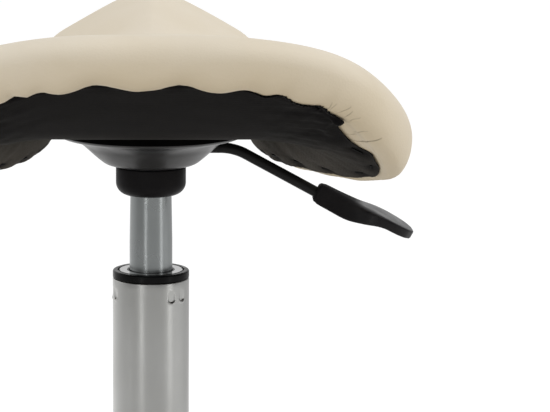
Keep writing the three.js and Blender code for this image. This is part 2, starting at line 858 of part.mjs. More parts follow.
// The moulded paddle: a round neck over the rod's end that flattens into a wide thumb blade
function leverPaddle() {
  const sides = 14;
  const rings = paddleShares.map(([share, blade, size]) => {
    const halfWidth = (THREE.MathUtils.lerp(paddleNeckWidth, paddleBladeWidth, blade) * size) / 2;
    const squeeze = THREE.MathUtils.lerp(size, Math.sqrt(size), blade);
    const height = THREE.MathUtils.lerp(paddleNeckHeight, paddleBladeHeight, blade) * squeeze;
    const lift = ((paddleNeckHeight - paddleBladeHeight) / 2) * blade; // its top runs on from the neck's
    const middle = onSlope(paddleStart + paddleLength * share, lift);
    const up = new THREE.Vector3(Math.sin(leverDroop), 0, Math.cos(leverDroop));
    return Array.from({ length: sides }, (_, i) => {
      const a = (2 * Math.PI * (i + 0.5)) / sides;
      const [c, s] = [Math.cos(a), Math.sin(a)];
      const wide = halfWidth * Math.sign(c) * Math.sqrt(Math.abs(c));
      const tall = (height / 2) * Math.sign(s) * Math.sqrt(Math.abs(s));
      return middle.clone().addScaledVector(up, tall).add(new THREE.Vector3(0, wide, 0));
    });
  });
  const neck = onSlope(paddleStart);
  const body = skin(rings);
  const boreLength = leverSlope - paddleStart + seatGap + cutOverrun;
  const bore = rod(leverRadius + seatGap, boreLength, 12)
    .rotateY(Math.PI / 2 + leverDroop)
    .translate(...onSlope(paddleStart - cutOverrun).sub(neck).toArray())
    .translate(...neck.toArray());
  return cut(body, bore);
}

function seatBolt() {
  const flange = collarFoot + panFlangeHeight;
  const head = rod(boltHeadRadius, boltHeadHeight, 6);
  const shankLength = boltHeadHeight + seatGap + panSheet + boltReach;
  const shank = rod(boltRadius, shankLength, 10);
  return join(head, shank).translate(0, 0, flange - seatGap - boltHeadHeight);
}

// Saddle seat

// The right half of the plan outline from the rear centre to the nose: shares of the half
// width, and of the reach behind (negative) or ahead of the column; then the height of the
// edge's fullest line and of its lowest line, as shares of the edge height
const outlineShares = [
  [0, -1, 1.19, 0.99],
  [0.396, -1.01, 1.2, 0.98],
  [0.733, -0.93, 1.05, 0.78],
  [0.936, -0.725, 0.7, 0.4],
  [1, -0.5, 0.445, 0.14],
  [0.924, -0.27, 0.345, 0.035],
  [0.782, 0, 0.31, 0.005],
  [0.644, 0.25, 0.31, 0],
  [0.545, 0.51, 0.35, 0.04],
  [0.51, 0.74, 0.58, 0.21],
  [0.351, 0.93, 0.8, 0.44],
  [0, 1, 0.92, 0.56],
];

// How the saddle's top falls away sideways, by stations from rear to nose: the place as a
// share of the reach, the ridge as a share of the rise, the fall at one side reach, its power
const saddleShares = [
  [-1, 0.81, 0.092, 3.65],
  [-0.86, 1, 0.103, 2.9],
  [-0.6, 0.57, 0.099, 3.25],
  [-0.3, 0.17, 0.18, 2.6],
  [0, 0, 0.3, 1.9],
  [0.25, 0.09, 0.38, 1.65],
  [0.5, 0.52, 0.48, 1.49],
  [0.75, 0.93, 0.565, 1.45],
  [0.88, 1, 0.585, 1.3],
  [1, 0.98, 0.553, 1.4],
];

function alongSeat(share) {
  return share * (share < 0 ? seatRearReach : seatNoseReach);
}

// A smooth curve through one column of the stations, read at the place y
function station(y, column) {
  const rows = saddleShares;
  let i = 1;
  while (i < rows.length - 2 && alongSeat(rows[i + 1][0]) < y) i++;
  const [before, a, b, after] = [rows[i - 1], rows[i], rows[i + 1], rows[i + 2] ?? rows[i + 1]];
  const length = alongSeat(b[0]) - alongSeat(a[0]);
  const t = THREE.MathUtils.clamp((y - alongSeat(a[0])) / length, -1, 1);
  const slope = (p, q) =>
    ((q[column] - p[column]) / (alongSeat(q[0]) - alongSeat(p[0]))) * length;
  const [t2, t3] = [t ** 2, t ** 3];
  return (
    a[column] * (2 * t3 - 3 * t2 + 1) +
    slope(before, b) * (t3 - 2 * t2 + t) +
    b[column] * (3 * t2 - 2 * t3) +
    slope(a, after) * (t3 - t2)
  );
}

// Height of the saddle's top over a plan point
function saddleTop(x, y) {
  const rise = y < 0 ? cantleRise : pommelRise;
  const ridge = collarFoot + ridgeHeight + rise * station(y, 1);
  return ridge - sideReach * station(y, 2) * (Math.abs(x) / sideReach) ** station(y, 3);
}

// The outline as rays from the column's axis: direction, reach and the edge's two heights
function outlineRays() {
  const corner = ([x, y, ...heights], k, side) =>
    new THREE.Vector3(
      side * seatHalfWidth * x,
      alongSeat(y),
      collarFoot + sideEdgeHeight + seatEdgeHeight * heights[k],
    );
  const [full, low] = [0, 1].map((k) => {
    const right = outlineShares.map((row) => corner(row, k, 1));
    const left = outlineShares.slice(1, -1).map((row) => corner(row, k, -1));
    return new THREE.CatmullRomCurve3([...right, ...left.reverse()], true, "centripetal");
  });
  return Array.from({ length: outlineSteps }, (_, i) => {
    const share = full.getUtoTmapping(i / outlineSteps);
    const point = full.getPoint(share);
    const reach = Math.hypot(point.x, point.y);
    return {
      dx: point.x / reach,
      dy: point.y / reach,
      reach,
      full: point.z,
      low: low.getPoint(share).z,
    };
  });
}

const rays = outlineRays();

// How far the underside stays flat over the mounting pan
function flatReach(ray) {
  const bounds = [
    ray.dy < 0 ? (coverRimRadius + mountMarginRear) / -ray.dy : Infinity,
    ray.dy > 0 ? (coverRimRadius + mountMarginFront) / ray.dy : Infinity,
    Math.max(mountFlatShare * ray.reach, coverRimRadius + mountMarginSide),
  ];
  const power = 8;
  return bounds.reduce((sum, bound) => sum + bound ** -power, 0) ** (-1 / power);
}

const undersideSweep = 1.12; // above 1, the underside leaves its flat middle gradually

// Underside of the dust cover: flat over the pan, then away to the edge
function undersideAt(ray, distance) {
  const flat = flatReach(ray);
  const share = Math.max(0, (distance - flat) / (ray.reach - dustInset - flat));
  const level = collarFoot + seatBase;
  return THREE.MathUtils.lerp(level, ray.low + dustDrop, share ** undersideSweep);
}

// Where the turned-in cover lies on the dust cover's inner side, and where the shell does. All
// the sheets there share these places, so that their facets stay parallel
const turnedInsets = [dustInset, shellInset, coverMargin];
const bedInsets = [coverMargin + marginEase, coverMargin, shellInset];

// Places on the top, on the upper half of the rolled edge and on its lower half
const topShares = [0.26, 0.5, 0.7, 0.87];
const upperShares = [0, 0.28, 0.52, 0.76];
const lowerShares = [0, 0.33, 0.66, 1];

// The cover's outside in the vertical plane of one ray, from near the centre to the turned-in
// margin, as [distance, height] pairs
function coverCourse(ray) {
  const rollStart = ray.reach - edgeRoll;
  const top = (distance) => saddleTop(ray.dx * distance, ray.dy * distance);
  const slope = (top(rollStart) - top(rollStart - edgeRoll / 8)) * 8;
  const pull = 0.55;
  const at = (x, z) => new THREE.Vector2(x, z);
  const upper = new THREE.CubicBezierCurve(
    at(rollStart, top(rollStart)),
    at(rollStart + edgeRoll * pull, top(rollStart) + slope * pull),
    at(ray.reach, THREE.MathUtils.lerp(ray.full, top(rollStart), pull)),
    at(ray.reach, ray.full),
  );
  const lower = new THREE.CubicBezierCurve(
    at(ray.reach, ray.full),
    at(ray.reach, THREE.MathUtils.lerp(ray.full, ray.low, pull)),
    at(ray.reach - edgeTuck * (1 - pull), ray.low),
    at(ray.reach - edgeTuck, ray.low),
  );
  const lap = dustSheet + seatGap;
  const turned = turnedInsets.map((inset) => ray.reach - inset);
  return [
    ...topShares.map((share) => [rollStart * share, top(rollStart * share)]),
    ...upperShares.map((share) => upper.getPoint(share).toArray()),
    ...lowerShares.map((share) => lower.getPoint(share).toArray()),
    ...turned.map((distance) => [distance, undersideAt(ray, distance) + lap]),
  ];
}

// A cover's course moved inwards by an amount: square to itself, and straight up where turned in
function inside(course, amount) {
  const turned = course.length - turnedInsets.length;
  return course.map(([x, z], i) => {
    if (i >= turned) return [x, z + amount];
    const [bx, bz] = course[Math.max(i - 1, 0)];
    const [ax, az] = course[Math.min(i + 1, turned - 1)];
    const length = Math.hypot(ax - bx, az - bz);
    return [x + ((az - bz) / length) * amount, z - ((ax - bx) / length) * amount];
  });
}

// A body whose section on every ray is the list of points that sectionOn gives, between a
// pole on top and a pole below on the column's axis
function around(sectionOn, topZ, footZ) {
  const sections = rays.map(sectionOn);
  const rings = sections[0].map((_, j) =>
    sections.map((section, i) => {
      const [distance, z] = section[j];
      return new THREE.Vector3(rays[i].dx * distance, rays[i].dy * distance, z);
    }),
  );
  const pole = (z) => [new THREE.Vector3(0, 0, z)];
  return skin([pole(topZ), ...rings, pole(footZ)]);
}

function seatCover() {
  const top = saddleTop(0, 0);
  const section = (ray) => {
    const outer = coverCourse(ray);
    return [...outer, ...inside(outer, coverSkin).reverse()];
  };
  return around(section, top, top - coverSkin);
}

// Underside of the shell: on the dust cover in the middle, and on the turned-in cover near the edge
function shellUnder(ray, distance) {
  const margin = ray.reach - coverMargin;
  const share = THREE.MathUtils.smoothstep(distance, margin - marginEase, margin);
  return undersideAt(ray, distance) + dustSheet + seatGap + share * (coverSkin + seatGap);
}

// Distances of the rings of the seat's underside, from the flat middle outwards
function bedRings(ray) {
  return [flatReach(ray), ...bedInsets.map((inset) => ray.reach - inset)];
}

const shellLevel = collarFoot + seatBase + dustSheet + seatGap;
const shellTop = shellLevel + shellThickness;

function seatShell() {
  const section = (ray) => {
    const under = bedRings(ray).map((d) => [d, shellUnder(ray, d)]);
    return [...under.map(([d, z]) => [d, z + shellThickness]), ...under.reverse()];
  };
  const barrelHole = teeNutBarrelRadius + seatGap;
  const seat = shellTop - teeNutFlange - seatGap;
  return cut(
    around(section, shellTop, shellLevel),
    ...boltHoles(barrelHole, shellLevel - cutOverrun, shellThickness + 2 * cutOverrun),
    ...boltHoles(teeNutRadius + seatGap, seat, cutOverrun),
  );
}

function seatFoam() {
  const over = (ray, d) => shellUnder(ray, d) + shellThickness + seatGap;
  const section = (ray) => {
    const course = inside(coverCourse(ray), coverSkin + seatGap);
    const turned = course.slice(-turnedInsets.length);
    const foot = Math.max(turned[0][1], turned[1][1]);
    const wall = ray.reach - shellInset + seatGap;
    const bed = bedRings(ray).map((d) => [d, over(ray, d)]);
    bed[bed.length - 1][0] = wall;
    return [...course.slice(0, 1 - turnedInsets.length), [wall, foot], ...bed.reverse()];
  };
  return around(section, saddleTop(0, 0) - coverSkin - seatGap, shellTop + seatGap);
}

function dustCover() {
  const level = collarFoot + seatBase;
  const section = (ray) => {
    const under = [...bedRings(ray), ray.reach - dustInset].map((d) => [d, undersideAt(ray, d)]);
    return [...under.map(([d, z]) => [d, z + dustSheet]), ...under.reverse()];
  };
  const sheet = around(section, level + dustSheet, level);
  return cut(sheet, ...boltHoles(boltRadius + boltHoleGap, level - cutOverrun, 3 * cutOverrun));
}

function teeNut() {
  const bore = boltRadius + runningGap;
  const profile = [
    [bore, shellTop - teeNutBarrel],
    [teeNutBarrelRadius, shellTop - teeNutBarrel],
    [teeNutBarrelRadius, shellTop - teeNutFlange],
    [teeNutRadius, shellTop - teeNutFlange],
    [teeNutRadius, shellTop],
    [bore, shellTop],
  ];
  return revolve(profile, 10);
}

// The stool

part("star_base", starBase().rotateZ(THREE.MathUtils.degToRad(firstLegAngle)), "chrome");
for (let i = 0; i < legCount; i++) {
  const angle = THREE.MathUtils.degToRad(firstLegAngle + (360 * i) / legCount);
  addCaster(i + 1, angle);
}

part("column_tube", columnTube(), "chrome");
part("guide_bush", guideBush(), "plastic");
const washer = () => ring(rodNeckRadius + runningGap, washerRadius, washerThickness, 20);
part("bearing_lower_washer", washer(), "steel").position.z = lowerWasherFoot;
part("bearing_cage", bearingCage(), "steel").position.z = cageMiddle;
part("bearing_upper_washer", washer(), "steel").position.z = upperWasherFoot;
part("piston_rod", pistonRod(), "steel");
part("retaining_clip", retainingClip(), "steel").position.z =
  columnFoot - clipThickness - seatGap;
part("stop_buffer", buffer(), "rubber");
part("pressure_tube", pressureTube(), "steel");
part("release_button", releaseButton(), "steel");

part("socket_collar", socketCollar(), "plastic");
part("taper_socket", taperSocket(), "steel");
part("mounting_pan", mountingPan(), "painted");
part("mechanism_cover", mechanismCover(), "painted");
part("lever_bracket", pivotBracket(), "steel");
part("lever_pivot_pin", pivotPin(), "steel");
part("lever_rod", leverRod(), "painted");
part("lever_paddle", leverPaddle(), "plastic");

part("dust_cover", dustCover(), "dust");
part("seat_shell", seatShell(), "ply");
part("seat_foam", seatFoam(), "foam");
part("seat_cover", seatCover(), "cream");
for (let i = 0; i < boltCount; i++) {
  const angle = (2 * Math.PI * (i + 0.5)) / boltCount;
  const [x, y] = [boltCircle * Math.cos(angle), boltCircle * Math.sin(angle)];
  part(`seat_bolt_${i + 1}`, seatBolt(), "steel").position.set(x, y, 0);
  part(`tee_nut_${i + 1}`, teeNut(), "steel").position.set(x, y, 0);
}

export default root;
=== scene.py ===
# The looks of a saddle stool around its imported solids. Metres, +Z up, in the solids' own frame:
# the origin is on the floor under the column, +Y is the way the sitter faces.
import json
import math

import bpy
import numpy as np
from mathutils import Matrix, Vector

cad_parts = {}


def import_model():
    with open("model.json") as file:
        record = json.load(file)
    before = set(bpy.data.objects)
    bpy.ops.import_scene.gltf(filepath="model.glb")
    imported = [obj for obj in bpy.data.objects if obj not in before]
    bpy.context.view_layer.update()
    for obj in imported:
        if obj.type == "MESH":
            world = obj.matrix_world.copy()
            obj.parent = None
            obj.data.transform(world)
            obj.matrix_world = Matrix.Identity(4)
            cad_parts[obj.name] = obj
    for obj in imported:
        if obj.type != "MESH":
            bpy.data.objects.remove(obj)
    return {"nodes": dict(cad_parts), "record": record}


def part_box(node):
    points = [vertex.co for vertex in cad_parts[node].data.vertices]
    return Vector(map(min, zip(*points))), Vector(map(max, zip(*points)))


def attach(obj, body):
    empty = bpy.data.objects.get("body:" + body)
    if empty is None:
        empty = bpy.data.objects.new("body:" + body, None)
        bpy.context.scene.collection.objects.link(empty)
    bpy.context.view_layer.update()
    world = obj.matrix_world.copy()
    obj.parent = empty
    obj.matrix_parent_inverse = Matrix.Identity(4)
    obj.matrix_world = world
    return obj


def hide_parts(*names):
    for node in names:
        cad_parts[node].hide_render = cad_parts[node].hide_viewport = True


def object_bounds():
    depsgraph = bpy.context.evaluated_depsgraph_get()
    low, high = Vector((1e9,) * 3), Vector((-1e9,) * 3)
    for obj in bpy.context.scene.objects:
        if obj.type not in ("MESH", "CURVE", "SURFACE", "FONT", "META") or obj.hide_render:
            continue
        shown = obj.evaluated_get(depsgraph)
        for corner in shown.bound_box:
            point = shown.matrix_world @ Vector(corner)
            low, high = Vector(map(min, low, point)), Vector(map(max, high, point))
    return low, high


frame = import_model()
cad_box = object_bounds()

# Camera at the photo's viewing angle: behind the stool, looking down a little
PHOTO_WIDTH = 550
FOCAL_PIXELS = 3217
CAMERA_PLACE = Vector((0, -2.0675, 0.7302))
CAMERA_PITCH = math.radians(10.093)
CAMERA_YAW = math.atan2(126, FOCAL_PIXELS)
CAMERA_ROLL = math.radians(0.38)
SENSOR = 36

# Places and sizes read from the frame
COLLAR_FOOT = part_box("socket_collar")[0].z
COLUMN_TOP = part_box("column_tube")[1].z
COLUMN_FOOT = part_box("column_tube")[0].z
COLUMN_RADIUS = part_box("column_tube")[1].x
PRESSURE_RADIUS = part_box("pressure_tube")[1].x
BUSH_FOOT, BUSH_TOP = (corner.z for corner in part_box("guide_bush"))

# Saddle seat: the sizes and shares of its solids
SEAT_HALF_WIDTH = 0.1615
SEAT_REAR_REACH = 0.174
SEAT_NOSE_REACH = 0.190
SEAT_BASE = COLLAR_FOOT + 0.0463
RIDGE_HEIGHT = COLLAR_FOOT + 0.091
CANTLE_RISE = 0.032
POMMEL_RISE = 0.026
SIDE_REACH = 0.110
SIDE_EDGE_HEIGHT = COLLAR_FOOT + 0.013
SEAT_EDGE_HEIGHT = 0.080
EDGE_ROLL = 0.024
EDGE_TUCK = 0.016
EDGE_PULL = 0.55
COVER_SKIN = 0.0015
COVER_MARGIN = 0.036
DUST_SHEET = 0.001
DUST_INSET = 0.021
DUST_DROP = 0.0015
SEAT_GAP = 0.0003
LAP_INSET = 0.024
SHELL_INSET = 0.024
SHELL_THICKNESS = 0.009
MOUNT_FLAT_REAR = 0.065
MOUNT_FLAT_FRONT = 0.085
MOUNT_FLAT_SHARE = 0.56
UNDERSIDE_SWEEP = 1.12

# The right half of the seat's outline, from the rear centre to the nose: shares of the half
# width and of the reach, and of the edge height for its fullest and its lowest line
OUTLINE_SHARES = np.array([
    [0, -1, 1.19, 0.99],
    [0.396, -1.01, 1.2, 0.98],
    [0.733, -0.93, 1.05, 0.78],
    [0.936, -0.725, 0.7, 0.4],
    [1, -0.5, 0.445, 0.14],
    [0.924, -0.27, 0.345, 0.035],
    [0.782, 0, 0.31, 0.005],
    [0.644, 0.25, 0.31, 0],
    [0.545, 0.51, 0.35, 0.04],
    [0.51, 0.74, 0.58, 0.21],
    [0.351, 0.93, 0.8, 0.44],
    [0, 1, 0.92, 0.56],
])

# Stations of the saddle's top from rear to nose: share of the reach, share of the rise, the
# fall at one side reach and its power
SADDLE_SHARES = np.array([
    [-1, 0.81, 0.092, 3.65],
    [-0.86, 1, 0.103, 2.9],
    [-0.6, 0.57, 0.099, 3.25],
    [-0.3, 0.17, 0.18, 2.6],
    [0, 0, 0.3, 1.9],
    [0.25, 0.09, 0.38, 1.65],
    [0.5, 0.52, 0.48, 1.49],
    [0.75, 0.93, 0.565, 1.45],
    [0.88, 1, 0.585, 1.3],
    [1, 0.98, 0.553, 1.4],
])


# Looks

CLOTH_LIGHT_HEIGHTS = (COLLAR_FOOT + 0.055, COLLAR_FOOT + 0.02)  # heights between which the cloth's painted light from below comes in
CLOTH_LIGHT_FADE = (0.104, 0.142, 1.0, 0.42)  # half widths between which the painted light gets less, and by how much
PADDLE_DULL = (0.129, 0.140)  # how far out the paddle's dull neck turns into its polished blade
MIDDLE = (0.4, 0.6)  # the part of a noise that is spread out
WIDER = (0.35, 0.65)

# Looks of two mixed colours: specular level; noise of the mix and the part of it that counts; the
# colours; roughness, or its noise and ends; noise, strength and depth of the grain
PLAIN_LOOKS = {
    "black_enamel": (0.5, (30, 4), MIDDLE, "252527", "2b2b2d", (60, 0.28, 0.38), (420, 1), 0.08, 0.0004),
    "rod_enamel": (0.2, (50, 4), WIDER, "111011", "191919", (80, 0.36, 0.5), (600, 1), 0.08, 0.0003),
    "black_plastic": (0.24, (45, 4), WIDER, "131214", "1a191b", (70, 0.26, 0.38), (1700, 3), 0.3, 0.00025),
    "collar_plastic": (0.07, (45, 4), WIDER, "161517", "1c1b1d", (70, 0.36, 0.5), (1300, 3), 0.25, 0.0002),
    "gloss_plastic": (0.12, (60, 3), MIDDLE, "09090a", "0e0e0f", (90, 0.2, 0.34), (700, 2), 0.05, 0.0002),
    "plate_gloss": (0.5, (70, 3), MIDDLE, "070708", "0c0c0d", (90, 0.08, 0.18), (500, 2), 0.04, 0.0002),
    # near black and dull: painted shade on the channel over the bowl's brim, which lies in the seat's shadow
    "edging_painted_shade": (0.04, (90, 3), WIDER, "020202", "070707", 0.9, (1500, 2), 0.2, 0.0002),
    "staple_enamel": (0.04, (90, 3), WIDER, "020202", "070707", 0.6, (1500, 2), 0.2, 0.0002),
}

# Metals: colour, cloudier colour, roughness, and how far the grain is drawn out along the column
METALS = {
    "column_chrome": ("c2c2c0", "b6b6b3", 0.3, 0.02),
    "lift_steel": ("a6a9a9", "969a9a", 0.27, 0.04),
    "base_chrome": ("dededb", "d4d4d0", 0.14, 1),
    "zinc_steel": ("a9abac", "8f9091", 0.36, 1),
}


def rgb(text):
    """Linear colour of a hex colour."""
    parts = [int(text[i : i + 2], 16) / 255 for i in (0, 2, 4)]
    return [c / 12.92 if c <= 0.04045 else ((c + 0.055) / 1.055) ** 2.4 for c in parts] + [1]


class Nodes:
    """The shader nodes of one tree. An input is a value or a socket."""

    def __init__(self, tree):
        self.tree = tree

    def feed(self, socket, value):
        if isinstance(value, bpy.types.NodeSocket):
            self.tree.links.new(value, socket)
        else:
            socket.default_value = value

    def add(self, kind, inputs=None, **settings):
        made = self.tree.nodes.new("ShaderNode" + kind)
        for key, value in settings.items():
            setattr(made, key, value)
        for key, value in (inputs or {}).items():
            self.feed(made.inputs[key], value)
        return made

    def sides(self, space="Object"):
        return self.add("SeparateXYZ", {0: self.add("TexCoord").outputs[space]}).outputs

    def spread(self, source, low, high, to_low=0.0, to_high=1.0, kind="LINEAR"):
        inputs = {"Value": source, "From Min": low, "From Max": high, "To Min": to_low, "To Max": to_high}
        return self.add("MapRange", inputs, interpolation_type=kind).outputs["Result"]

    def ramp(self, source, low, high, to_low=0.0, to_high=1.0):
        return self.spread(source, low, high, to_low, to_high, "SMOOTHSTEP")

    def math(self, operation, a, b):
        return self.add("Math", {0: a, 1: b}, operation=operation).outputs[0]

    def times(self, a, b):
        return self.math("MULTIPLY", a, b)

    def rest(self, share):
        return self.math("SUBTRACT", 1.0, share)

    def mix(self, share, a, b):
        return self.add("Mix", {0: share, 6: a, 7: b}, data_type="RGBA").outputs[2]


class Look(Nodes):
    """A material on one Principled shader, with textures in object coordinates."""

    def __init__(self, name, roughness=0.5, metallic=0.0, level=0.5, sheen=0.0):
        self.material = bpy.data.materials.new(name)
        self.material.use_nodes = True
        super().__init__(self.material.node_tree)
        self.inputs = self.tree.nodes["Principled BSDF"].inputs
        self.inputs["Roughness"].default_value = roughness
        self.inputs["Metallic"].default_value = metallic
        self.inputs["Specular IOR Level"].default_value = level
        self.inputs["Sheen Weight"].default_value = sheen
        self.place = self.add("TexCoord").outputs["Object"]

    def noise(self, scale, detail=3.0, stretch=(1, 1, 1)):
        place = self.add("Mapping", {"Vector": self.place, "Scale": stretch}).outputs[0]
        return self.add("TexNoise", {"Vector": place, "Scale": scale, "Detail": detail}).outputs["Fac"]

    def cells(self, scale, randomness=1.0):
        inputs = {"Vector": self.place, "Scale": scale, "Randomness": randomness}
        return self.add("TexVoronoi", inputs).outputs["Distance"]

    def layer(self, name):
        """What the piece's mesh says at each point under a name."""
        return self.add("Attribute", attribute_name=name).outputs["Fac"]

    def source(self, name):
        """What is linked to an input of the shader, if anything is."""
        links = self.inputs[name].links
        return links[0].from_socket if links else None

    def colour(self, share, a, b):
        self.feed(self.inputs["Base Color"], self.mix(share, a, b))

    def rough(self, value):
        self.feed(self.inputs["Roughness"], value)

    def bump(self, height, strength, distance):
        inputs = {"Height": height, "Strength": strength, "Distance": distance}
        below = self.source("Normal")
        if below:
            inputs["Normal"] = below
        self.feed(self.inputs["Normal"], self.add("Bump", inputs).outputs["Normal"])


def cream_vinyl():
    look = Look("cream_vinyl", level=0.4)
    base = look.mix(look.spread(look.noise(9, 4), *WIDER), rgb("dcd2c0"), rgb("d6cab4"))
    # Painted shade: the vinyl is coloured dark brown along the creases, as far as the layer says
    look.colour(look.layer("crease_shade"), base, rgb("6d5f46"))
    look.rough(look.spread(look.noise(22, 3), 0.3, 0.7, 0.44, 0.56))
    look.bump(look.math("ADD", look.cells(760), look.times(look.noise(2100, 2), 0.5)), 0.22, 0.0004)
    look.bump(look.noise(55, 2), 0.12, 0.002)
    return look


def dust_fabric():
    """Black nonwoven with pressed dots, coloured lighter grey low down on the wings as painted light from
    below, and kept dark in the staple dimples as painted shade.
    """
    look = Look("dust_fabric", 0.85, level=0.06, sheen=0.03)
    web = look.math("ADD", look.noise(1300, 2, (1, 0.3, 1)), look.noise(1100, 2, (0.3, 1, 1)))
    web = look.times(web, 0.5)
    dense = look.spread(web, 0.3, 0.7)
    dots = look.spread(look.cells(620, 0.15), 0.18, 0.34)
    sides = look.sides()
    # Painted light: low down on the wings the cloth is coloured lighter grey, in patches, for the light from
    # below
    light_patches = look.spread(look.noise(26, 4), 0.25, 0.6, 0.55, 1.0)
    painted_light = look.times(look.ramp(sides["Z"], *CLOTH_LIGHT_HEIGHTS), light_patches)
    painted_light = look.times(painted_light, look.ramp(look.math("ABSOLUTE", sides["X"], 0.0), *CLOTH_LIGHT_FADE))
    # Painted shade: the staple dimples get none of the painted light and stay dark
    painted_light = look.times(painted_light, look.rest(look.layer("tuck")))
    unlit_black = look.mix(dense, rgb("0a090b"), rgb("121113"))
    lit_grey = look.mix(dense, rgb("474544"), rgb("5d5b59"))
    look.colour(look.times(look.rest(dots), 0.45), look.mix(painted_light, unlit_black, lit_grey), rgb("060606"))
    look.bump(web, 0.5, 0.0005)
    look.bump(dots, 0.35, 0.0004)
    return look


def plain_look(name, level, mixed, part, colour, other, rough, grain, strength, depth):
    look = Look(name, level=level)
    look.colour(look.spread(look.noise(*mixed), *part), rgb(colour), rgb(other))
    uneven = not isinstance(rough, float)
    look.rough(look.spread(look.noise(rough[0]), *WIDER, *rough[1:]) if uneven else rough)
    look.bump(look.noise(*grain), strength, depth)
    return look


def paddle_plastic():
    """Black plastic, dull on the neck and polished on the blade by use."""
    look = plain_look("paddle_plastic", *PLAIN_LOOKS["black_plastic"])
    used = look.ramp(look.sides()["X"], *PADDLE_DULL)
    look.colour(used, rgb("171618"), look.source("Base Color"))
    look.rough(look.math("ADD", look.source("Roughness"), look.times(look.rest(used), 0.6)))
    return look


def drawn_metal(name, colour, darker, roughness, streak):
    """Metal drawn or ground along the column, with a little cloudiness from handling."""
    look = Look(name, metallic=1.0)
    look.colour(look.spread(look.noise(26, 3, (1, 1, 0.6)), 0.3, 0.75), rgb(colour), rgb(darker))
    look.rough(look.spread(look.noise(30, 1), 0.25, 0.75, roughness - 0.02, roughness + 0.05))
    look.bump(look.noise(900, 2, (1, 1, streak)), 0.04, 0.0002)
    return look


def wheel_plastic():
    look = Look("wheel_plastic", level=0.45)
    scuffed = look.spread(look.noise(120, 5, (0.3, 1, 1)), 0.45, 0.7)
    look.colour(scuffed, rgb("18181a"), rgb("262628"))
    look.rough(look.spread(scuffed, 0, 1, 0.42, 0.62))
    look.bump(look.noise(1200, 3), 0.2, 0.0002)
    return look


def black_rubber():
    look = Look("black_rubber", 0.85, level=0.3)
    look.colour(look.noise(80, 4), rgb("202020"), rgb("2d2d2d"))
    look.bump(look.noise(900, 4), 0.3, 0.0003)
    return look


def birch_ply():
    look = Look("birch_ply", 0.7, level=0.3)
    grain = look.noise(140, 5, (0.12, 1, 1))
    look.colour(look.spread(grain, *WIDER), rgb("c39a66"), rgb("a67c4b"))
    look.bump(grain, 0.2, 0.0004)
    return look


def cushion_foam():
    look = Look("cushion_foam", 0.95, level=0.1)
    cell = look.cells(900)
    look.colour(look.spread(cell, 0.1, 0.6), rgb("d8c98c"), rgb("eadfa9"))
    look.bump(cell, 0.6, 0.0006)
    return look


makers = (cream_vinyl, dust_fabric, paddle_plastic, wheel_plastic, black_rubber, birch_ply, cushion_foam)
LOOKS = {maker.__name__: maker() for maker in makers}
LOOKS |= {name: plain_look(name, *row) for name, row in PLAIN_LOOKS.items()}
LOOKS |= {name: drawn_metal(name, *row) for name, row in METALS.items()}
LOOKS["plate_gloss"].inputs["Coat Weight"].default_value = 1.0
LOOKS["plate_gloss"].inputs["Coat Roughness"].default_value = 0.06

for row in frame["record"]["subparts"]:
    node = frame["nodes"][row["node"]]
    node.data.materials.clear()
    node.data.materials.append(LOOKS[row["material_slot"]].material)


# Mesh making

OVERRUN = 0.005  # how far a cutter reaches past what it cuts
CUTTER_REACH = 0.01  # of a cross bore, each way from its middle


def placed(name, data):
    made = bpy.data.objects.new(name, data)
    bpy.context.scene.collection.objects.link(made)
    return made


def mesh_of(name, shape):
    points, faces = shape
    mesh = bpy.data.meshes.new(name)
    mesh.from_pydata([tuple(p) for p in points], [], [tuple(int(i) for i in f) for f in faces])
    return mesh


def piece(name, shape, body, slot, *stands_for, look=None, sharp=35):
    """A mesh object from (points, faces), smooth but for edges sharper than an angle, in its
    finish and riding on its body."""
    mesh = mesh_of(name, shape)
    mesh.validate()
    mesh.shade_smooth()
    mesh.set_sharp_from_angle(angle=math.radians(sharp))
    mesh.materials.append(LOOKS[look or slot].material)
    made = placed(name, mesh)
    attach(made, body)
    if stands_for:
        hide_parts(*stands_for)
    return made


def write_layer(made, name, rings):
    """A value for each point of a piece whose first point is a pole and whose others lie on rings."""
    layer = made.data.attributes.new(name, "FLOAT", "POINT")
    layer.data.foreach_set("value", np.concatenate([[0], rings.ravel()]).astype(np.float32))


def thicken(made, thickness, offset):
    skin = made.modifiers.new("thickness", "SOLIDIFY")
    skin.thickness, skin.offset = thickness, offset


def grid(rings, ends="open"):
    """Points and faces through rings of points, each a closed loop or a single point, with open
    or flat ends."""
    counts = [len(ring) for ring in rings]
    starts = np.concatenate([[0], np.cumsum(counts)])
    faces = []
    for j in range(len(rings) - 1):
        near, far = counts[j], counts[j + 1]
        around = max(near, far)
        for i in range(around):
            k = (i + 1) % around
            a, b = starts[j] + i % near, starts[j] + k % near
            c, d = starts[j + 1] + i % far, starts[j + 1] + k % far
            if near == 1:
                faces.append((a, d, c))
            elif far == 1:
                faces.append((a, b, d))
            else:
                faces.append((a, b, d, c))
    if ends == "flat":
        faces.append(tuple(range(starts[0] + counts[0] - 1, starts[0] - 1, -1)))
        faces.append(tuple(range(starts[-2], starts[-1])))
    return np.concatenate([np.asarray(ring, float).reshape(-1, 3) for ring in rings]), faces


def turned(profile, sides=96):
    """A body of revolution about Z through (radius, height) pairs, closed on itself or on the
    axis, wound so that its faces point out."""
    angles = np.arange(sides) * 2 * math.pi / sides
    rings = []
    for radius, height in profile:
        if radius == 0:
            rings.append([(0, 0, height)])
        else:
            rings.append(np.stack([radius * np.cos(angles), radius * np.sin(angles), 0 * angles + height], 1))
    if profile[0][0] != 0:
        rings.append(rings[0])
    return weld(grid(rings))


